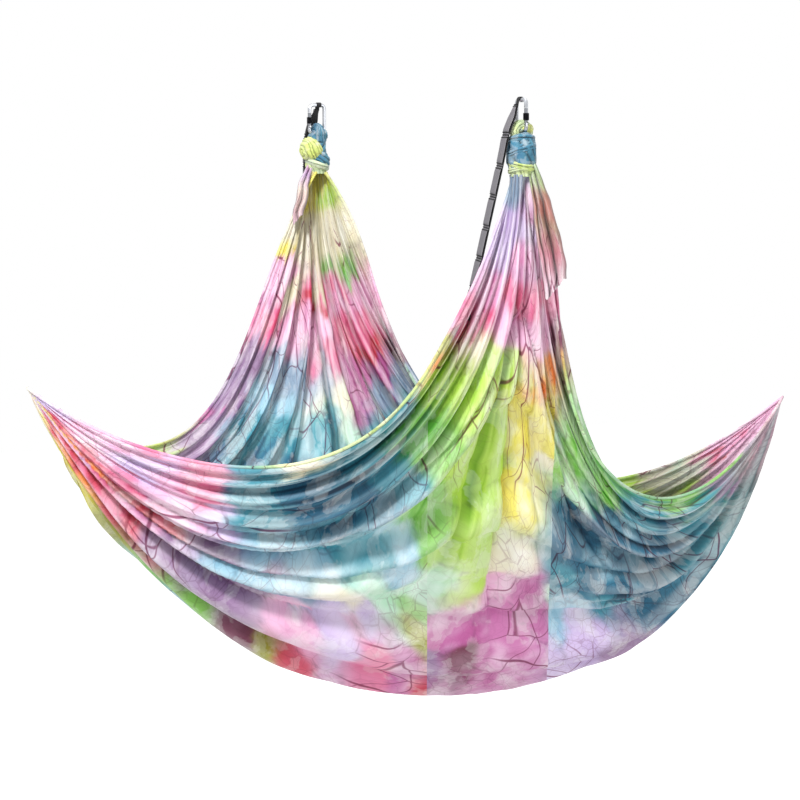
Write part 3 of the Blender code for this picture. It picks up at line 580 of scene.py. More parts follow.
WASHES_BACK = {
    "cream": ((-93, -58, 9), (-19, -62, 6), (-28, -35, 6), (-26, -22, 8), (-21, -18, 6),
              (-35, -19, 6), (58, -77, 6), (66, -73, 6), (60, -72, 5), (62, -78, 5)),
    "lemon": ((-74, -70, 8), (-26, -11, 6), (-33, -25, 3)),
    "olive": ((-75, -84, 7),),
    "leaf": ((36, -79, 13), (-18, -28, 3), (-70, -98, 8)),
    "lime": ((-63, -72, 5), (-22, -12, 4), (9, -74, 12), (22, -86, 17), (53, -82, 5),
             (68, -86, 3)),
    "mint": ((-20, -69, 6), (-38, -25, 4), (64, -74, 6)),
    "mauve": ((-52, -71, 8), (-45, -62, 8), (-39, -52, 6)),
    "slate": ((-31, -56, 8), (-44, -73, 6), (-5, -58, 8)),
    "teal": ((-37, -73, 10), (-27, -71, 8), (-2, -70, 9)),
    "deep": ((-31, -77, 7),),
    "sky": ((-35, -62, 8), (-3, -110, 21), (-40, -101, 19)),
    "pink": ((-33, -31, 7), (-23, -45, 7), (-16, -37, 6), (36, -115, 21), (77, -69, 9),
             (-29, -46, 5), (89, -63, 8), (-44, -35, 5)),
    "rose": ((-22, -37, 5), (-15, -45, 6), (92, -59, 4), (-35, -42, 5), (-22, -52, 5),
             (81, -71, 3), (73, -74, 3)),
    "crimson": ((-24, -40, 3), (-11, -50, 4), (75, -75, 2)),
    "magenta": ((-11, -56, 7), (-14, -63, 6), (-38, -37, 3), (-54, -62, 3)),
    "plum": ((-5, -50, 4),),
}


def past_join(points, side):
    """Distance past the nearer print join, in metres; the joins show on the front only."""
    across = (points - MIDDLE) @ ACROSS
    if side > 0:
        return -1.0 + 0 * across
    return np.maximum(across - JOIN_RIGHT, JOIN_LEFT - across)


def washes(points, k, b, side, second_print=False, jump=(0.0, 0.0)):
    """Colour of the dyed cloth at each point; the second print is the same dye, moved on.

    A point's colour is the mean of the dyes, each weighted by
    1 / (0.03 + (distance / reach)^2)^2.6."""
    x, z = (points - MIDDLE) @ ACROSS, (points - MIDDLE)[..., 2]
    if second_print:
        right, low = x > (JOIN_LEFT + JOIN_RIGHT) / 2, smooth(z, -0.95, -0.25)
        x, z = x + np.where(right, 0.10, -0.09 * low), z + np.where(right, 0.05, 0.05 * low)
    shift = (0.040 * waves(3 + side, 9 * x, 9 * z, 4 * k)
             + 0.020 * waves(9 + side, 60 * k, 3 * b) + 0.022 * waves(13 + side, 34 * x, 34 * z))
    rise = (0.045 * waves(5 + side, 8 * x, 10 * z, 6 * k)
            + 0.026 * waves(8 + side, 70 * k, 2 * b) + 0.022 * waves(14 + side, 34 * x, 34 * z))
    steady = 1 - 0.75 * smooth(z, -0.32, 0.16)
    across, height = x + (shift + jump[0]) * steady, z + (rise + jump[1]) * steady
    total, colour, best, second = 1e-9, 0.0, 0.0, 0.0
    for name, spots in (WASHES_FRONT if side < 0 else WASHES_BACK).items():
        for at, up, reach in np.array(spots) / 100:
            distance = ((across - at) ** 2 + (height - up) ** 2) / reach ** 2
            weight = 1.0 / (0.03 + distance) ** 2.6
            second = np.maximum(second, np.minimum(best, weight))
            best = np.maximum(best, weight)
            total = total + weight
            colour = colour + weight[..., None] * np.array(DYES[name]) / 100
    colour = colour / total[..., None]
    border = 0.12 * np.exp(-((best - second) / (best + second) / 0.10) ** 2)[..., None]
    pale = 0.42 * smooth(waves(21 + side, 15 * x, 19 * z, 30 * k), -0.05, 0.5)[..., None]
    rich = 0.30 * smooth(waves(31 + side, 16 * x, 14 * z, 26 * k), 0.05, 0.5)[..., None]
    colour = colour + (1 - colour) * pale
    mean = colour.mean(-1, keepdims=True)
    colour = np.clip(colour + (colour - mean) * (0.12 + 0.9 * rich) - 0.22 * rich, 0.02, 0.97)
    return colour * (1 - border)


def linear(rgb):
    """Linear light from display colours."""
    rgb = np.asarray(rgb, float)
    return np.where(rgb <= 0.04045, rgb / 12.92, ((rgb + 0.055) / 1.055) ** 2.4)


# %% [markdown]
# ## Cloth material
# The dye comes from the points, with painted shade in the folds' valleys and painted highlights on
# their crests. Fine dark lines in the shape of leaf veins are drawn over it by nodes, in the
# cloth's own coordinates, so they follow the folds. A fine knit gives the surface its grain, and a
# little sheen makes the edges of the folds glow.

# %% Node helpers


def feed(tree, socket, value):
    """Link a socket to an input, or set the input to a number, vector or colour."""
    if isinstance(value, bpy.types.NodeSocket):
        tree.links.new(value, socket)
    elif value is not None:
        socket.default_value = (*value, 1.0) if socket.type == "RGBA" else value


def fill(tree, node, *inputs, **values):
    """Give a node its settings and inputs by name, then its inputs by place."""
    for key, value in values.items():
        if hasattr(node, key):
            setattr(node, key, value)
        else:
            feed(tree, node.inputs[key.replace("_", " ")], value)
    for socket, value in zip(node.inputs, inputs):
        feed(tree, socket, value)
    return node


def add(tree, kind, *inputs, **values):
    """A new node with its settings and inputs."""
    return fill(tree, tree.nodes.new("ShaderNode" + kind), *inputs, **values)


def maths(tree, how, a, b=None, clamp=False):
    """A Math node on sockets or numbers."""
    return add(tree, "Math", a, b, operation=how, use_clamp=clamp).outputs[0]


def principled(name):
    """A new material: its tree and its Principled node."""
    mat = bpy.data.materials.new(name)
    mat.use_nodes = True
    return mat, mat.node_tree, mat.node_tree.nodes["Principled BSDF"]


def new_group(name, *outputs):
    """A node group from a vector to numbers: its tree, its vector and its output node."""
    group = bpy.data.node_groups.new(name, "ShaderNodeTree")
    group.interface.new_socket("Vector", in_out="INPUT", socket_type="NodeSocketVector")
    for label in outputs:
        group.interface.new_socket(label, in_out="OUTPUT", socket_type="NodeSocketFloat")
    into = group.nodes.new("NodeGroupInput")
    return group, into.outputs[0], group.nodes.new("NodeGroupOutput")


def ramp(tree, value, low, high, start=0.0, end=1.0, how="SMOOTHSTEP"):
    """Step of a value from low..high to start..end."""
    return add(tree, "MapRange", interpolation_type=how, Value=value, From_Min=low,
               From_Max=high, To_Min=start, To_Max=end).outputs[0]


def noise(tree, vector, scale, detail=2.0, output="Fac"):
    """Noise on a vector."""
    return add(tree, "TexNoise", Vector=vector, Scale=scale, Detail=detail).outputs[output]


def moved_by(tree, vector, share, amount):
    """A vector plus a share of an amount along x and y."""
    return add(tree, "VectorMath", share, (*amount, 0.0), vector,
               operation="MULTIPLY_ADD").outputs[0]


def bent(tree, vector, scale, amount):
    """A vector that wanders by a noise."""
    return moved_by(tree, vector, noise(tree, vector, scale, 2.0, "Color"), (amount, amount))


def cell_lines(tree, vector, scale, low, high, strength):
    """Lines along the borders of irregular cells."""
    cells = add(tree, "TexVoronoi", feature="DISTANCE_TO_EDGE", Vector=vector, Scale=scale)
    return ramp(tree, cells.outputs["Distance"], low, high, strength, 0.0)


def bump(tree, height, strength, distance):
    """Normals that are bent by a height."""
    return add(tree, "Bump", Height=height, Strength=strength, Distance=distance).outputs[0]


def mixed(tree, how, share, first, second):
    """A colour Mix node on sockets or colours."""
    node = add(tree, "Mix", share, data_type="RGBA", blend_type=how)
    feed(tree, node.inputs[6], first)
    feed(tree, node.inputs[7], second)
    return node.outputs[2]


# %% [markdown]
# ### Veins and granulation
# Two effects are groups of their own, because they belong to the print and not to the yarn:
# branching veins, strong and fine, and the grain that watercolour leaves where it dries.

# %% Printed jersey


def vein_group():
    """Branching veins on the cloth's coordinates: strong and fine lines, each from 0 to 1."""
    group, cloth, out = new_group("leaf_veins", "Strong", "Fine")
    vector = bent(group, cloth, 3.0, 0.25)
    finer = bent(group, vector, 9.0, 0.03)
    strong = maths(group, "MAXIMUM", cell_lines(group, vector, 2.6, 0.003, 0.011, 1.0),
                   cell_lines(group, vector, 6.5, 0.003, 0.016, 0.85))
    fine = maths(group, "MAXIMUM", cell_lines(group, finer, 17.0, 0.008, 0.035, 0.7),
                 cell_lines(group, vector, 34.0, 0.010, 0.050, 0.4))
    strong_seen = ramp(group, noise(group, cloth, 1.9, 1.0), 0.44, 0.56)
    fine_seen = ramp(group, noise(group, cloth, 2.6, 1.0), 0.40, 0.60, 0.25, 1.0)
    fill(group, out, maths(group, "MULTIPLY", strong, strong_seen),
         maths(group, "MULTIPLY", fine, fine_seen))
    return group


def mottle_group():
    """Watercolour granulation on the cloth's coordinates: pale patches and rich patches."""
    group, cloth, out = new_group("watercolour", "Pale", "Rich")
    vector = bent(group, cloth, 6.0, 0.08)
    soft = noise(group, vector, 9.0, 6.0)
    other = noise(group, bent(group, vector, 4.0, 0.2), 7.0, 6.0)
    fill(group, out,
         maths(group, "ADD", ramp(group, soft, 0.50, 0.53, 0.0, 0.16),
               ramp(group, soft, 0.58, 0.60, 0.0, 0.16)),
         maths(group, "ADD", ramp(group, other, 0.52, 0.54, 0.0, 0.14),
               ramp(group, other, 0.60, 0.62, 0.0, 0.18)))
    return group


VEINS, MOTTLE = vein_group(), mottle_group()
VEIN_TINT, STRONG_VEIN_TINT, PALE_PAINT = (0.34, 0.16, 0.22), (0.28, 0.04, 0.14), (0.92, 0.93, 0.90)
PRINT_MOVE = (0.37, 0.21)                   # from one length of the print to the next


def cloth_material(name):
    """Printed jersey: two lengths of dye with painted fold shade and highlights, granulation,
    veins, knit and wrinkles.
    """
    mat, tree, shader = principled(name)
    uv = add(tree, "UVMap", uv_map="cloth").outputs[0]
    join = add(tree, "Attribute", attribute_name="past_join").outputs["Fac"]
    past = maths(tree, "GREATER_THAN", join, 0.0)
    place = moved_by(tree, uv, past, PRINT_MOVE)
    grain = add(tree, "Group", place, node_tree=MOTTLE).outputs
    veins = add(tree, "Group", place, node_tree=VEINS).outputs
    colour = mixed(tree, "MIX", past, *(add(tree, "VertexColor", layer_name=layer).outputs[0]
                                        for layer in ("dye", "dye_second")))
    colour = mixed(tree, "MIX", grain["Pale"], colour, PALE_PAINT)
    colour = mixed(tree, "MULTIPLY", grain["Rich"], colour, colour)
    colour = mixed(tree, "MULTIPLY", maths(tree, "MULTIPLY", veins["Fine"], 0.55), colour,
                   VEIN_TINT)
    colour = mixed(tree, "MIX", maths(tree, "MULTIPLY", veins["Strong"], 0.88), colour,
                   mixed(tree, "MULTIPLY", 1.0, colour, STRONG_VEIN_TINT))
    knit = add(tree, "TexVoronoi", Vector=uv, Scale=420.0).outputs["Distance"]
    height = maths(tree, "ADD", noise(tree, uv, 38.0, 4.0), maths(tree, "MULTIPLY", knit, 0.15))
    fill(tree, shader, Base_Color=colour, Normal=bump(tree, height, 0.35, 0.004),
         Roughness=0.68, Sheen_Weight=0.15, Sheen_Roughness=0.4)
    return mat


CLOTH = cloth_material("printed_jersey")

# %% [markdown]
# ## The sheet
# The front and back halves meet along the keel. Their UV map holds the sheet's own
# coordinates in metres: 2.8 m wide, and 1.5 m from the keel to a knot.

# %% Sheet pieces


def dress(piece, material, body, slot, *nodes):
    """Give a piece its material and body, and hide the CAD nodes that it replaces; slot is not
    used.
    """
    piece.data.materials.append(material)
    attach(piece, body)
    if nodes:
        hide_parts(*nodes)
    return piece


for side, name, nodes in ((-1, "cloth_front", ("cloth_front_wall", "cloth_belly")),
                          (1, "cloth_back", ("cloth_back_wall",))):
    half = halves[side]
    # The crests get a painted highlight, paler, and the valleys a painted shade, darker and richer
    # in colour.
    crease_shade, light = half.crease_shade[..., None], 0.34 * half.crest_highlight[..., None]
    prints = [linear(washes(half.base + MIDDLE, half.k, half.b, side, second, half.jump))
              for second in (False, True)]
    prints = [[(dye + (1 - dye) * light) ** (1 + 1.6 * crease_shade) * (1 - 0.50 * crease_shade)]
              for dye in prints]
    uv = np.stack([1.4 * half.u, side * 1.5 * (1 - half.b)], -1)
    piece = grid_piece(name, [half.grid], [uv], prints, past_join(half.grid, side),
                       wrap=False, flip=side < 0)
    dress(piece, CLOTH, "hammock", "printed_cloth", *nodes)

# %% [markdown]
# ## Rolled hems
# Each side edge of the sheet is rolled into a thin hem. It runs from one knot out to a tip and
# back to the other knot. The roll is a tube whose thickness wanders a little, with a
# shallow groove where the edge is tucked in.

# %% Hems
HEM_R, HEM_ROWS = 0.0036, 260


def full_turn(count):
    """Angles once round, in equal steps."""
    return np.linspace(0, 2 * np.pi, count + 1)[:-1]


def sweep(line, radius, turn):
    """Rings round a line: radius and turn are arrays of rows by ring points.

    From ring to ring the directions turn as little as possible."""
    along = unit(np.gradient(line, axis=0))
    first, now = np.empty_like(along), np.cross(along[0], (0.3, 0.5, 0.8))
    for i, t in enumerate(along):
        first[i] = now = unit(square_to(now, t))
    second = np.cross(along, first)
    return (line[:, None] + radius[..., None] * (np.cos(turn)[..., None] * first[:, None]
                                                 + np.sin(turn)[..., None] * second[:, None]))


def edge_line(half):
    """Edge of the sheet from the front knot by the tip to the back knot, and its heights."""
    b = np.concatenate([np.linspace(1, 0.01, HEM_ROWS) ** 1.3, [0.0]])
    front, back = (drape(np.full_like(b, half), b, side) + MIDDLE for side in (-1, 1))
    return np.concatenate([front, back[-2::-1]]), np.concatenate([b, b[-2::-1]])


def hem_piece(name, node, half, seed, tint, span):
    """Rolled hem with the dye of the cloth next to it, and a tint over a span of heights."""
    line, b = edge_line(half)
    length = length_of(line)[:, None]
    turn = full_turn(16) + 0 * length
    groove = (turn - 2.0 - 1.2 * waves(seed + 1, 9 * length)) / 0.35
    size = HEM_R * (1 + 0.16 * waves(seed, 55 * length)) * (1 - 0.30 * np.exp(-groove ** 2))
    size = size * (1 + 0.05 * np.sin(2600 * length) * np.exp(-((turn - 2.9) / 0.5) ** 2))
    grid = sweep(line, size, turn)
    front = (np.arange(len(line)) < len(line) // 2)[:, None]
    low, high = (np.where(front, *ends) for ends in zip(*span))
    k, height = half + 0 * turn, b[:, None] + 0 * turn
    colour = np.where(front[..., None], *(washes(grid, k, height, side) for side in (-1, 1)))
    share = 0.75 * smooth(height, low, 0.12) * smooth(height, high, -0.12)
    colour = colour + (np.array(tint) - colour) * share[..., None]
    uv = np.stack([turn * 0.004, length + 0 * turn], -1)
    piece = grid_piece(name, [grid], [uv], [[linear(colour)]])
    print(name, "length", round(float(length[-1, 0]), 3), "m")
    return dress(piece, CLOTH, "hammock", "hem_cloth", node)


hem_piece("hem_left", "left_hem", -1.0, 61, (0.84, 0.88, 0.50), ((0.30, 0.76), (0.10, 0.55)))
hem_piece("hem_right", "right_hem", 1.0, 67, (0.68, 0.86, 0.58), ((0.02, 0.66), (0.12, 0.60)))

# %% [markdown]
# ## Knots
# A sheet 2.8 m wide is gathered into a bundle as thick as a wrist, led over the carabiner's
# bar and wrapped round itself. Each wrap is a band with folds running along it. The barrel
# under the wraps has slanting folds, and a pleated loop goes over the bar.

# %% Knot shapes
BARREL_LOW, COLLAR_HIGH = -0.042, -0.034    # from the knot's middle
LOOP_R, LOOP_WIDE = 0.0105, 1.10


def circle(a, size):
    """Two coordinates on a circle, so that noise on them closes after one turn."""
    return size * np.cos(a), size * np.sin(a)


def tube(radius, a, z):
    """Points round the z axis."""
    return np.stack([*circle(a, radius), z + 0 * a], -1)


def barrel_grid(profile, seed, count, slant):
    """Barrel of gathered cloth with slanting folds: points, and 1 on a ridge, 0 in a valley."""
    z, a = np.linspace(BARREL_LOW, KNOT_TOP, 70)[:, None], full_turn(180)
    radius = np.interp(z, *np.array(profile).T) + 0 * a
    turn = a / (2 * np.pi) + slant * (z - BARREL_LOW)
    x = (turn + 0.02 * waves(seed + 4, 60 * z, *circle(a, 2))) % 1.0
    shape, width, _, _ = ridges(seed, x, count)
    depth = np.minimum(0.40 * width * 2 * np.pi * radius, 0.0050)
    return tube(radius + depth * (shape - 0.85), a, z), shape


def wrap_grid(seed, level, tilt, facing, radius, half_height, thick, folds):
    """A band of cloth wound once round the knot, with folds along it."""
    a, c = full_turn(120), full_turn(90)[:, None]
    wide = half_height * (1 + 0.25 * waves(seed, *circle(a, 2)))
    x = (c / (2 * np.pi) + 0.04 * waves(seed + 1, *circle(a, 3))) % 1.0
    shape = ridges(seed, x, folds)[0]
    rim = 1 + 0.24 * (shape - 0.8)
    out = radius * (1 + 0.05 * np.cos(2 * a + seed)) + thick * np.cos(c) * rim
    return tube(out, a, level + tilt * np.cos(a - facing) + wide * np.sin(c) * rim), shape


def lobe_grid(seed, middle, radii, tilt, folds, depth=0.12):
    """A round bulge of cloth with folds that run round it."""
    lat, lon = np.linspace(-np.pi / 2, np.pi / 2, 91)[:, None], full_turn(90)
    x = (lat + np.pi / 2) / np.pi + 0.07 * waves(seed, *circle(lon, 2), 2 * lat)
    shape = ridges(seed, np.clip(x, 0, 0.999), folds)[0]
    ball = tube(np.cos(lat), lon, np.sin(lat))
    size = 1 + depth * (shape - 0.9) + 0.12 * waves(seed + 3, *np.moveaxis(2.2 * ball, -1, 0))
    ball = ball * size[..., None] * np.array(radii)
    turn = np.array(Matrix.Rotation(math.radians(tilt), 3, "Y"))
    return ball @ turn.T + np.array(middle), shape


def loop_grid(seed, turn):
    """Gathered cloth that goes up, over the carabiner's bar and down again."""
    reach, rise = BAR_R + GAP + LOOP_R, BOTTOM_Z + KNOT_DROP
    a = np.radians(np.linspace(200, -20, 70))
    top = np.stack([reach * np.cos(a), 0 * a, rise + reach * np.sin(a)], 1)
    legs = np.linspace(0, 1, 12)[:, None]
    foot = np.array([-reach * 0.95, 0, KNOT_TOP - 0.014])
    line = np.concatenate([foot + (top[0] - foot) * legs[:-1], top,
                           top[-1] + (foot * (-1, 1, 1) - top[-1]) * legs[1:]])
    ring, s = full_turn(90), np.linspace(0, 1, len(line))[:, None]
    x = (ring / (2 * np.pi) + 0.05 * waves(seed, 7 * s, *circle(ring, 2))) % 1.0
    shape = ridges(seed, x, 11)[0]
    grid = sweep(line, LOOP_R * (1 + 0.24 * (shape - 0.9)), ring + 0 * s)
    return grid * (LOOP_WIDE, 1, 1) @ np.array(Matrix.Rotation(turn, 3, "Z")).T, shape


def foot_grid(seed):
    """Collar of pleats between the wraps and the sheet."""
    z, a = np.linspace(KNOT_FOOT - 0.005, COLLAR_HIGH, 24)[:, None], full_turn(180)
    shape = ridges(seed, (a / (2 * np.pi) + 2.2 * (z - KNOT_FOOT)) % 1.0, 13)[0]
    radius = 0.0238 + 0.0050 * smooth(z, KNOT_FOOT, 0.014) + 0.0032 * (shape - 0.8)
    return tube(radius, a, z), shape


def mottled(points, palette, seed, scale=45.0):
    """Soft patches of a few colours on a small piece."""
    total, colour, place = 0.0, 0.0, np.moveaxis(points * scale, -1, 0)
    for i, rgb in enumerate(palette):
        weight = np.exp(2.6 * waves(seed + 7 * i, *place))[..., None]
        total, colour = total + weight, colour + weight * np.array(rgb)
    return colour / total


def shaded(colour, shape, depth):
    """A colour with painted shade in its valleys, darker by a depth."""
    return linear(colour * (1 - depth * (1 - shape[..., None]) ** 1.6))


def knot_piece(name, node, centre, parts):
    """Join the parts of a knot: (grid, shape), palette, seed, how dark the painted valley shade is.
    """
    grids, uvs, colours = [], [], []
    for (grid, shape), palette, seed, depth in parts:
        i, j = np.indices(shape.shape) / np.reshape(shape.shape, (2, 1, 1))
        grids.append(grid + centre)
        uvs.append(np.stack([j * 0.6, i * 0.2], -1))
        colours.append(shaded(mottled(grid, palette, seed), shape, depth))
    piece = grid_piece(name, grids, uvs, [colours])
    print(name, "triangles:", 2 * len(piece.data.polygons))
    return dress(piece, CLOTH, "hammock", node + "_cloth", node)


# %% [markdown]
# ## The two knots in their colours
# The front knot is a straight blue-green barrel under a yellow-green crossing wrap. The back
# knot is looser: a big yellow bulge leans out to the left over a blue one.

# %% Front and back knot
BLUES = [(0.22, 0.46, 0.60), (0.34, 0.60, 0.72), (0.15, 0.36, 0.50), (0.46, 0.68, 0.72),
         (0.24, 0.50, 0.56)]
LIMES = [(0.90, 0.92, 0.50), (0.80, 0.90, 0.50), (0.94, 0.93, 0.66), (0.64, 0.76, 0.40)]
PALES = [(0.88, 0.93, 0.84), (0.76, 0.86, 0.66), (0.94, 0.94, 0.80), (0.68, 0.80, 0.78)]
# height and radius of each barrel
FRONT_BARREL = ((-0.055, 0.0250), (-0.042, 0.0285), (-0.036, 0.0300), (-0.030, 0.0330),
                (-0.010, 0.0335), (0.012, 0.0320), (0.024, 0.0290), (0.034, 0.0160))
BACK_BARREL = ((-0.055, 0.0230), (-0.042, 0.0250), (-0.036, 0.0250), (-0.030, 0.0250),
               (-0.010, 0.0230), (0.012, 0.0220), (0.026, 0.0210), (0.034, 0.0150))
# each part: grid and folds, palette, seed, how dark its painted valley shade is
knot_piece("knot_front", "front_knot", FRONT, [
    (barrel_grid(FRONT_BARREL, 21, 8, 3.0), BLUES, 3, 0.55),
    (foot_grid(22), PALES + LIMES, 5, 0.35),
    (wrap_grid(23, -0.035, 0.006, 2.4, 0.0225, 0.0090, 0.0100, 6), LIMES, 8, 0.6),
    (wrap_grid(29, -0.044, -0.006, 2.0, 0.0222, 0.0070, 0.0088, 5), PALES + LIMES, 30, 0.6),
    (wrap_grid(24, -0.004, 0.010, 5.4, 0.0235, 0.0150, 0.0104, 8), BLUES, 9, 0.7),
    (wrap_grid(25, 0.021, 0.005, 4.6, 0.0210, 0.0100, 0.0100, 6), BLUES, 12, 0.7),
    (lobe_grid(27, (-0.008, 0.004, 0.044), (0.0125, 0.0110, 0.0180), 80, 5), PALES, 21, 0.3),
    (lobe_grid(28, (0.0125, -0.003, 0.046), (0.0130, 0.0105, 0.0165), 100, 5), LIMES[:3], 22, 0.3),
    (loop_grid(26, 0.0), PALES + LIMES, 13, 0.4),
])
knot_piece("knot_back", "back_knot", BACK, [
    (barrel_grid(BACK_BARREL, 31, 8, -7.0), BLUES, 15, 0.55),
    (foot_grid(32), LIMES + PALES, 16, 0.3),
    (lobe_grid(33, (-0.019, -0.004, 0.002), (0.0315, 0.0270, 0.0290), 62, 9, 0.13), LIMES, 17, 0.4),
    (lobe_grid(34, (0.004, -0.001, -0.024), (0.0310, 0.0300, 0.0235), 32, 6), BLUES, 18, 0.55),
    (wrap_grid(35, -0.036, 0.009, 2.64, 0.0240, 0.0085, 0.0085, 3), PALES, 19, 0.4),
    (lobe_grid(37, (0.002, 0.0, 0.030), (0.0225, 0.0200, 0.0290), 60, 6), BLUES, 23, 0.4),
    (loop_grid(36, math.pi / 2), BLUES, 20, 0.4),
])

# %% [markdown]
# ## Tails
# What is left of the sheet's ends hangs down beside each knot. The cloth is still gathered, so
# a tail is a strip with deep pleats that open out towards its raw edge.

# %% Tails


def between(s, stops, values):
    """Vectors that go from value to value as s goes from stop to stop."""
    return np.stack([np.interp(s, stops, column) for column in zip(*values)], -1)


def tail_piece(name, node, centre, points, widths, facing, count, seed, colours, flat):
    """Strip along a few points, in pleats that wander and open towards a slanting raw edge."""
    s, w = np.linspace(0, 1, 150)[:, None], np.linspace(-0.5, 0.5, 150)
    stops = np.linspace(0, 1, len(points))
    place = s * (1 - 0.12 * smooth(0.5 - w) + 0.025 * waves(seed + 5, 11 * w))
    width = np.interp(place, stops, widths)
    x = w + 0.5 + 0.07 * waves(seed + 2, 5 * s, 4 * w) * s
    shape, share, _, own = ridges(seed, np.clip(x, 0, 0.9999), count)
    depth = np.minimum(width * share * 1.1 * own(6, 0.4, 1.0), 0.022) * (shape - 0.5)
    depth = depth + 0.020 * waves(seed + 3, 5 * s, 4 * w) * s
    sideways = w * width + 0.012 * waves(seed + 4, 6 * s, 2 * w) * s
    grid = (between(place, stops, points) + np.array(facing) * depth[..., None]
            + np.array([facing[1], -facing[0], 0.0]) * sideways[..., None] + centre)
    uv = np.stack([w * flat[0] * 6 + 0 * s, -s * flat[1] + 0 * w], -1)
    shares, colours = zip(*colours)
    tint = between(place + 0.10 * waves(seed + 8, 6 * s, 14 * w), shares, colours)
    tint = 0.7 * tint + 0.3 * mottled(grid, colours, seed, 40.0)
    # The pleats' valleys get painted shade.
    piece = grid_piece(name, [grid], [uv], [[shaded(tint, shape, 0.40)]], wrap=False)
    dress(piece, CLOTH, "hammock", node + "_cloth", node)
    print(name, "area", round(area_of(grid), 4), "m2")


# points from the knot's middle, widths there, facing, pleats, seed, colours by length, size
tail_piece("tail_front", "front_tail", FRONT,
           [(0.014, -0.020, -0.030), (0.020, -0.029, -0.065), (0.030, -0.038, -0.115),
            (0.041, -0.044, -0.180), (0.052, -0.048, -0.255), (0.060, -0.054, -0.335)],
           (0.020, 0.030, 0.040, 0.050, 0.054, 0.044), (-0.5, -0.866, 0), 3, 41,
           [(0.0, (0.56, 0.76, 0.50)), (0.22, (0.66, 0.80, 0.56)), (0.34, (0.62, 0.40, 0.34)),
            (0.46, (0.72, 0.42, 0.38)), (0.58, (0.66, 0.56, 0.46)), (0.72, (0.82, 0.50, 0.60)),
            (0.84, (0.90, 0.76, 0.84)), (1.0, (0.93, 0.91, 0.95))], (0.085, 0.300))
tail_piece("tail_back", "back_tail", BACK,
           [(-0.020, -0.005, -0.036), (-0.040, -0.016, -0.070), (-0.056, -0.026, -0.110),
            (-0.074, -0.042, -0.190)],
           (0.018, 0.026, 0.032, 0.028), (-0.6, -0.8, 0), 2, 44,
           [(0.0, (0.86, 0.66, 0.80)), (0.3, (0.72, 0.62, 0.80)), (0.6, (0.90, 0.84, 0.70)),
            (1.0, (0.92, 0.80, 0.86))], (0.062, 0.165))

# %% [markdown]
# ## Daisy-chain straps
# A strap is two bands of webbing: a black core that is folded over the carabiner's crown, and
# a grey band sewn onto it every 68 mm, which makes the pockets. The bar tacks are rows of
# dense thread. Both bands follow the CAD solids, and ride on the strap's own body.

# %% Straps
EYE_R = BAR_R + GAP + 0.0009
WEB_W, WEB_T, EYE_W, EYE_OFF = 0.025, 0.0018, 0.012, -0.0045
PITCH, POCKETS, POCKET_H, TACK_L, STAND_OFF = 0.068, 7, 0.0030, 0.011, 0.0425
STRAP_L = POCKETS * PITCH + TACK_L
STRAP_LEAN, WALL_AT = 0.18, 0.11            # outward slope; where it goes in behind the wall


def front_strap_line(s):
    """Front strap below the eye: past the knot, then in behind the wall."""
    out = STRAP_LEAN * s + (STAND_OFF - STRAP_LEAN * KNOT_DROP - EYE_R) * smooth(s, 0, 0.085)
    inward = 0.063 * (s - WALL_AT + np.sqrt((s - WALL_AT) ** 2 + 0.03 ** 2))
    return np.stack([-inward, -out, -s], 1)


def back_strap_line(s):
    """Back strap below the eye: stands off the knot, then hangs straight."""
    out = (STAND_OFF + 0.006 - EYE_R) * smooth(s, 0, KNOT_DROP)
    return np.stack([0 * s, -out, -s], 1)


def from_eye(line):
    """Move the upper end of a line to the eye's place on the crown bar."""
    line[:, 0] += EYE_OFF * smooth(-line[:, 2], 0.05, -0.05)
    line[:, 2] += CROWN_Z
    return line


def core_line(tail):
    """Centre line of the core band: eye over the crown bar, then the tail."""
    a = np.radians(np.linspace(-60, 180, 41))
    eye = np.stack([0 * a, EYE_R * np.cos(a), EYE_R * np.sin(a)], 1)
    low = tail(np.linspace(0.002, STRAP_L, 300)) - (0, EYE_R, 0)
    return from_eye(np.concatenate([eye, low]))


def pocket_line(tail, s):
    """Centre line of the pocket band and its distance from the core band."""
    phase = np.abs(((s - TACK_L) / PITCH) % 1.0 - 0.5) * 2
    apart = WEB_T + 2 * GAP + smooth((1 - phase) * 3) * POCKET_H
    return from_eye(tail(s) - (0, EYE_R, 0)), -apart


def band_grid(line, offset, width, thick, turn):
    """Closed band with rounded edges, as rings of points along the line, and its UV map."""
    along = unit(np.gradient(line, axis=0))
    across = unit(square_to(np.array([1.0, 0.0, 0.0]), along))
    out, a = np.cross(across, along), full_turn(24)
    x = np.sign(np.cos(a)) * np.abs(np.cos(a)) ** 0.35 * (width[:, None] / 2)
    y = np.sign(np.sin(a)) * np.abs(np.sin(a)) ** 0.8 * thick / 2 + offset[:, None]
    grid = line[:, None] + across[:, None] * x[..., None] + out[:, None] * y[..., None]
    uv = np.stack([x, length_of(line)[:, None] + 0 * x], -1)
    return grid @ np.array(turn.to_3x3()).T + np.array(turn.translation), uv


# %% [markdown]
# ## Webbing material
# Polyester webbing has ribs across it and a fine twill on top. Two wave textures on the
# band's own coordinates give both, and the edges are a little lighter from wear.

# %% Webbing and thread materials
RIB, TWILL = 0.0022, 0.0015                 # metres from one rib or twill line to the next


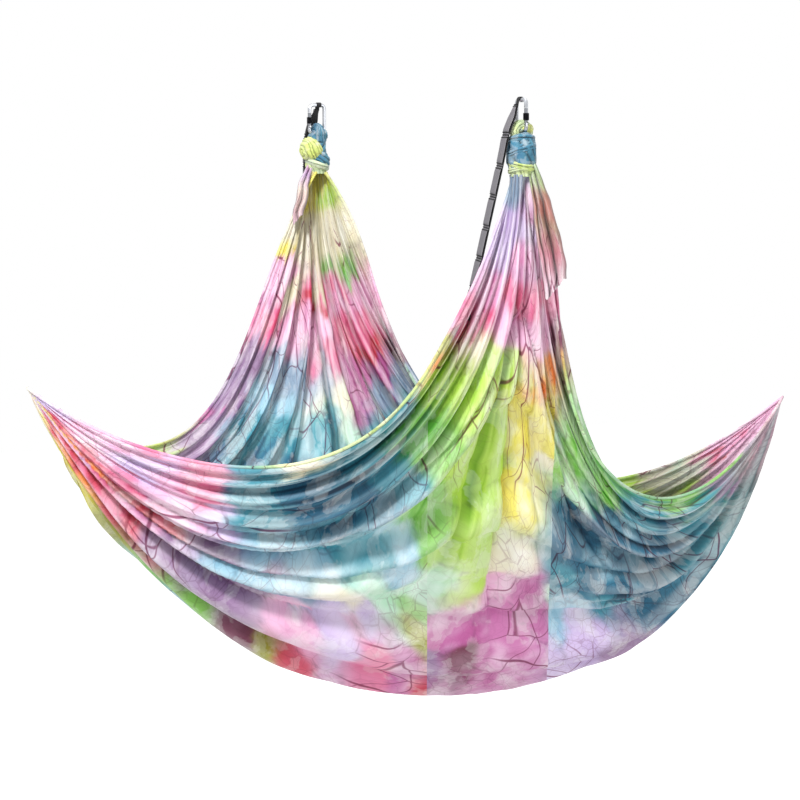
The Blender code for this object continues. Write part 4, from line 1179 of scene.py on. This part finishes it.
def webbing_material(name, rgb, wear, rough=0.75):
    """Woven webbing on the band's coordinates, in metres; wear is how much lighter it gets."""
    mat, tree, shader = principled(name)
    uv = add(tree, "UVMap", uv_map="cloth").outputs[0]
    x, y, _ = add(tree, "SeparateXYZ", uv).outputs
    ribs = maths(tree, "SINE", maths(tree, "MULTIPLY", y, 2 * math.pi / RIB))
    twill = maths(tree, "MULTIPLY", maths(tree, "ADD", x, y), 2 * math.pi / TWILL)
    height = maths(tree, "ADD", maths(tree, "MULTIPLY", ribs, 0.5),
                   maths(tree, "MULTIPLY", maths(tree, "SINE", twill), 0.35))
    edge = ramp(tree, maths(tree, "ABSOLUTE", x), 0.0095, 0.0125, how="LINEAR")
    share = maths(tree, "ADD", maths(tree, "MULTIPLY", edge, 0.5),
                  maths(tree, "MULTIPLY", noise(tree, uv, 300.0, 3.0), 0.35), clamp=True)
    colour = mixed(tree, "MIX", share, linear(rgb), linear(np.array(rgb) * 0.7 + wear))
    fill(tree, shader, Base_Color=colour, Normal=bump(tree, height, 0.6, 0.0004),
         Roughness=rough)
    return mat


CORE = webbing_material("webbing_black", (0.07, 0.07, 0.08), 0.12)
GREY = webbing_material("webbing_grey", (0.42, 0.41, 0.43), 0.22)
THREAD = webbing_material("thread_dark", (0.02, 0.02, 0.025), 0.03, 0.7)

# %% [markdown]
# ## The straps' pieces
# Each strap gets its core band, its pocket band, and one piece for all its bar tacks: three
# rows of thread at each of the eight places where the bands are sewn together.

# %% Strap pieces
TACK_ROWS, TACK_HALF = (-0.0052, 0.0, 0.0052), 0.0012
TACK_W, EYE_TACK_W, TACK_T, TACK_IN = WEB_W + 0.0020, 0.016, WEB_T + 0.0010, 0.0005


def strap_pieces(prefix, turn, tail):
    """Core band, pocket band and bar tacks of one strap."""
    body, core = prefix + "_strap", core_line(tail)
    pockets = pocket_line(tail, np.linspace(TACK_L, STRAP_L, POCKETS * 40 + 1))
    for name, line, offset, material, slot in (
            ("strap_webbing_", core, np.zeros(len(core)), CORE, "strap_core"),
            ("strap_loops_", *pockets, GREY, "strap_pockets")):
        width = EYE_W + (WEB_W - EYE_W) * smooth(-line[:, 2], 0.012, 0.030)
        grid, uv = band_grid(line, offset, width, WEB_T, turn)
        piece = grid_piece(name + prefix, [grid], [uv], caps=True)
        dress(piece, material, body, slot, prefix + "_" + slot)
    tacks = []
    for n in range(POCKETS + 1):
        for row in TACK_ROWS:
            at = max(TACK_L + n * PITCH + row, TACK_L + TACK_HALF)
            s = min(at, STRAP_L - TACK_HALF) + np.linspace(-TACK_HALF, TACK_HALF, 7)
            line, offset = pocket_line(tail, s)
            width = np.full(len(s), TACK_W if n else EYE_TACK_W)
            tacks.append(band_grid(line, offset - TACK_IN, width, TACK_T, turn))
    piece = grid_piece("strap_tacks_" + prefix, *zip(*tacks), caps=True)
    dress(piece, THREAD, body, "strap_pockets")


for prefix, y, angle, tail in (("front", SEAT_OFF, -math.pi / 2, front_strap_line),
                               ("back", SEAT_OFF + SPAN, math.pi, back_strap_line)):
    strap_pieces(prefix, Matrix.Translation((0, y, 0)) @ Matrix.Rotation(angle, 4, "Z"), tail)

# %% [markdown]
# ## Metal
# The carabiners keep their CAD shape. Their steel gets fine marks all over, a few rubbed
# places and a duller gate; the screw sleeve is dark and slightly worn in places.

# %% Metal materials


def metal_material(name, rgb, rough, scratch, worn=(0.72, 0.72, 0.74)):
    """Metal with fine scratches and rubbed patches."""
    mat, tree, shader = principled(name)
    place = add(tree, "TexCoord").outputs["Object"]
    fine, soft = noise(tree, place, 900.0, 5.0), noise(tree, place, 60.0, 3.0)
    rubbed = maths(tree, "MULTIPLY", ramp(tree, soft, 0.52, 0.70), scratch)
    dull = maths(tree, "ADD", maths(tree, "MULTIPLY", fine, 0.25), rough - 0.12)
    fill(tree, shader, Base_Color=mixed(tree, "MIX", rubbed, linear(rgb), linear(worn)),
         Roughness=dull, Normal=bump(tree, fine, 0.15, 0.0002), Metallic=1.0)
    return mat


METALS = {
    "_carabiner_body": metal_material("steel_bar", (0.74, 0.75, 0.77), 0.30, 0.35),
    "_carabiner_gate": metal_material("steel_gate", (0.55, 0.56, 0.58), 0.38, 0.30),
    "_gate_rivet": metal_material("steel_rivet", (0.80, 0.80, 0.80), 0.28, 0.20),
    "_screw_sleeve": metal_material("sleeve_black", (0.10, 0.10, 0.11), 0.42, 0.45,
                                    (0.36, 0.36, 0.38)),
}
for prefix in ("front", "back"):
    for node, material in METALS.items():
        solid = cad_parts[prefix + node]
        solid.data.materials.clear()
        solid.data.materials.append(material)

# %% [markdown]
# ## Light and floor
# Wide soft lamps give the even light of a product photograph. The floor lies below the
# hammock; the camera sees it and the background as plain white.

# %% Studio
WHITE, PAPER = (1, 1, 1), (0.84, 0.84, 0.84)
FLOOR_HALF, FLOOR_Z = 12, -1.95
AIM = Vector((0, 0.5, -0.7))
# place, size in metres, power in watts
LAMPS = {"key": ((-3.6, -2.6, 3.4), 1.2, 370.0), "fill": ((3.5, -4.0, 0.5), 3.0, 52.0),
         "top": ((0.0, 0.5, 3.2), 3.0, 50.0)}


def studio():
    """World, floor and lamps."""
    world = bpy.data.worlds.new("studio")
    bpy.context.scene.world = world
    world.use_nodes = True
    tree = world.node_tree
    back = fill(tree, tree.nodes["Background"], WHITE, 0.46)
    plain = add(tree, "Background", WHITE)
    path = add(tree, "LightPath").outputs
    seen = maths(tree, "MAXIMUM", path["Is Camera Ray"], path["Is Glossy Ray"])
    seen = maths(tree, "MAXIMUM", seen, path["Is Transmission Ray"])
    mix = add(tree, "MixShader", seen, back.outputs[0], plain.outputs[0])
    fill(tree, tree.nodes["World Output"], mix.outputs[0])
    mesh = bpy.data.meshes.new("studio_floor")
    corners = [(x * FLOOR_HALF, y * FLOOR_HALF, FLOOR_Z)
               for x, y in ((-1, -1), (1, -1), (1, 1), (-1, 1))]
    mesh.from_pydata(corners, [], [(0, 1, 2, 3)])
    mat, tree, shader = principled("studio_floor")
    camera_ray = add(tree, "LightPath").outputs["Is Camera Ray"]
    fill(tree, shader, Base_Color=PAPER, Roughness=0.9, Emission_Color=WHITE,
         Emission_Strength=maths(tree, "MULTIPLY", camera_ray, 0.65))
    mesh.materials.append(mat)
    link("studio_floor", mesh)
    for name, (place, size, power) in LAMPS.items():
        lamp = bpy.data.lights.new(name, "AREA")
        lamp.shape, lamp.size, lamp.energy = "DISK", size, power
        link(name, lamp).matrix_world = aimed(place, AIM - Vector(place))


studio()
bpy.context.scene.view_settings.view_transform = "Standard"
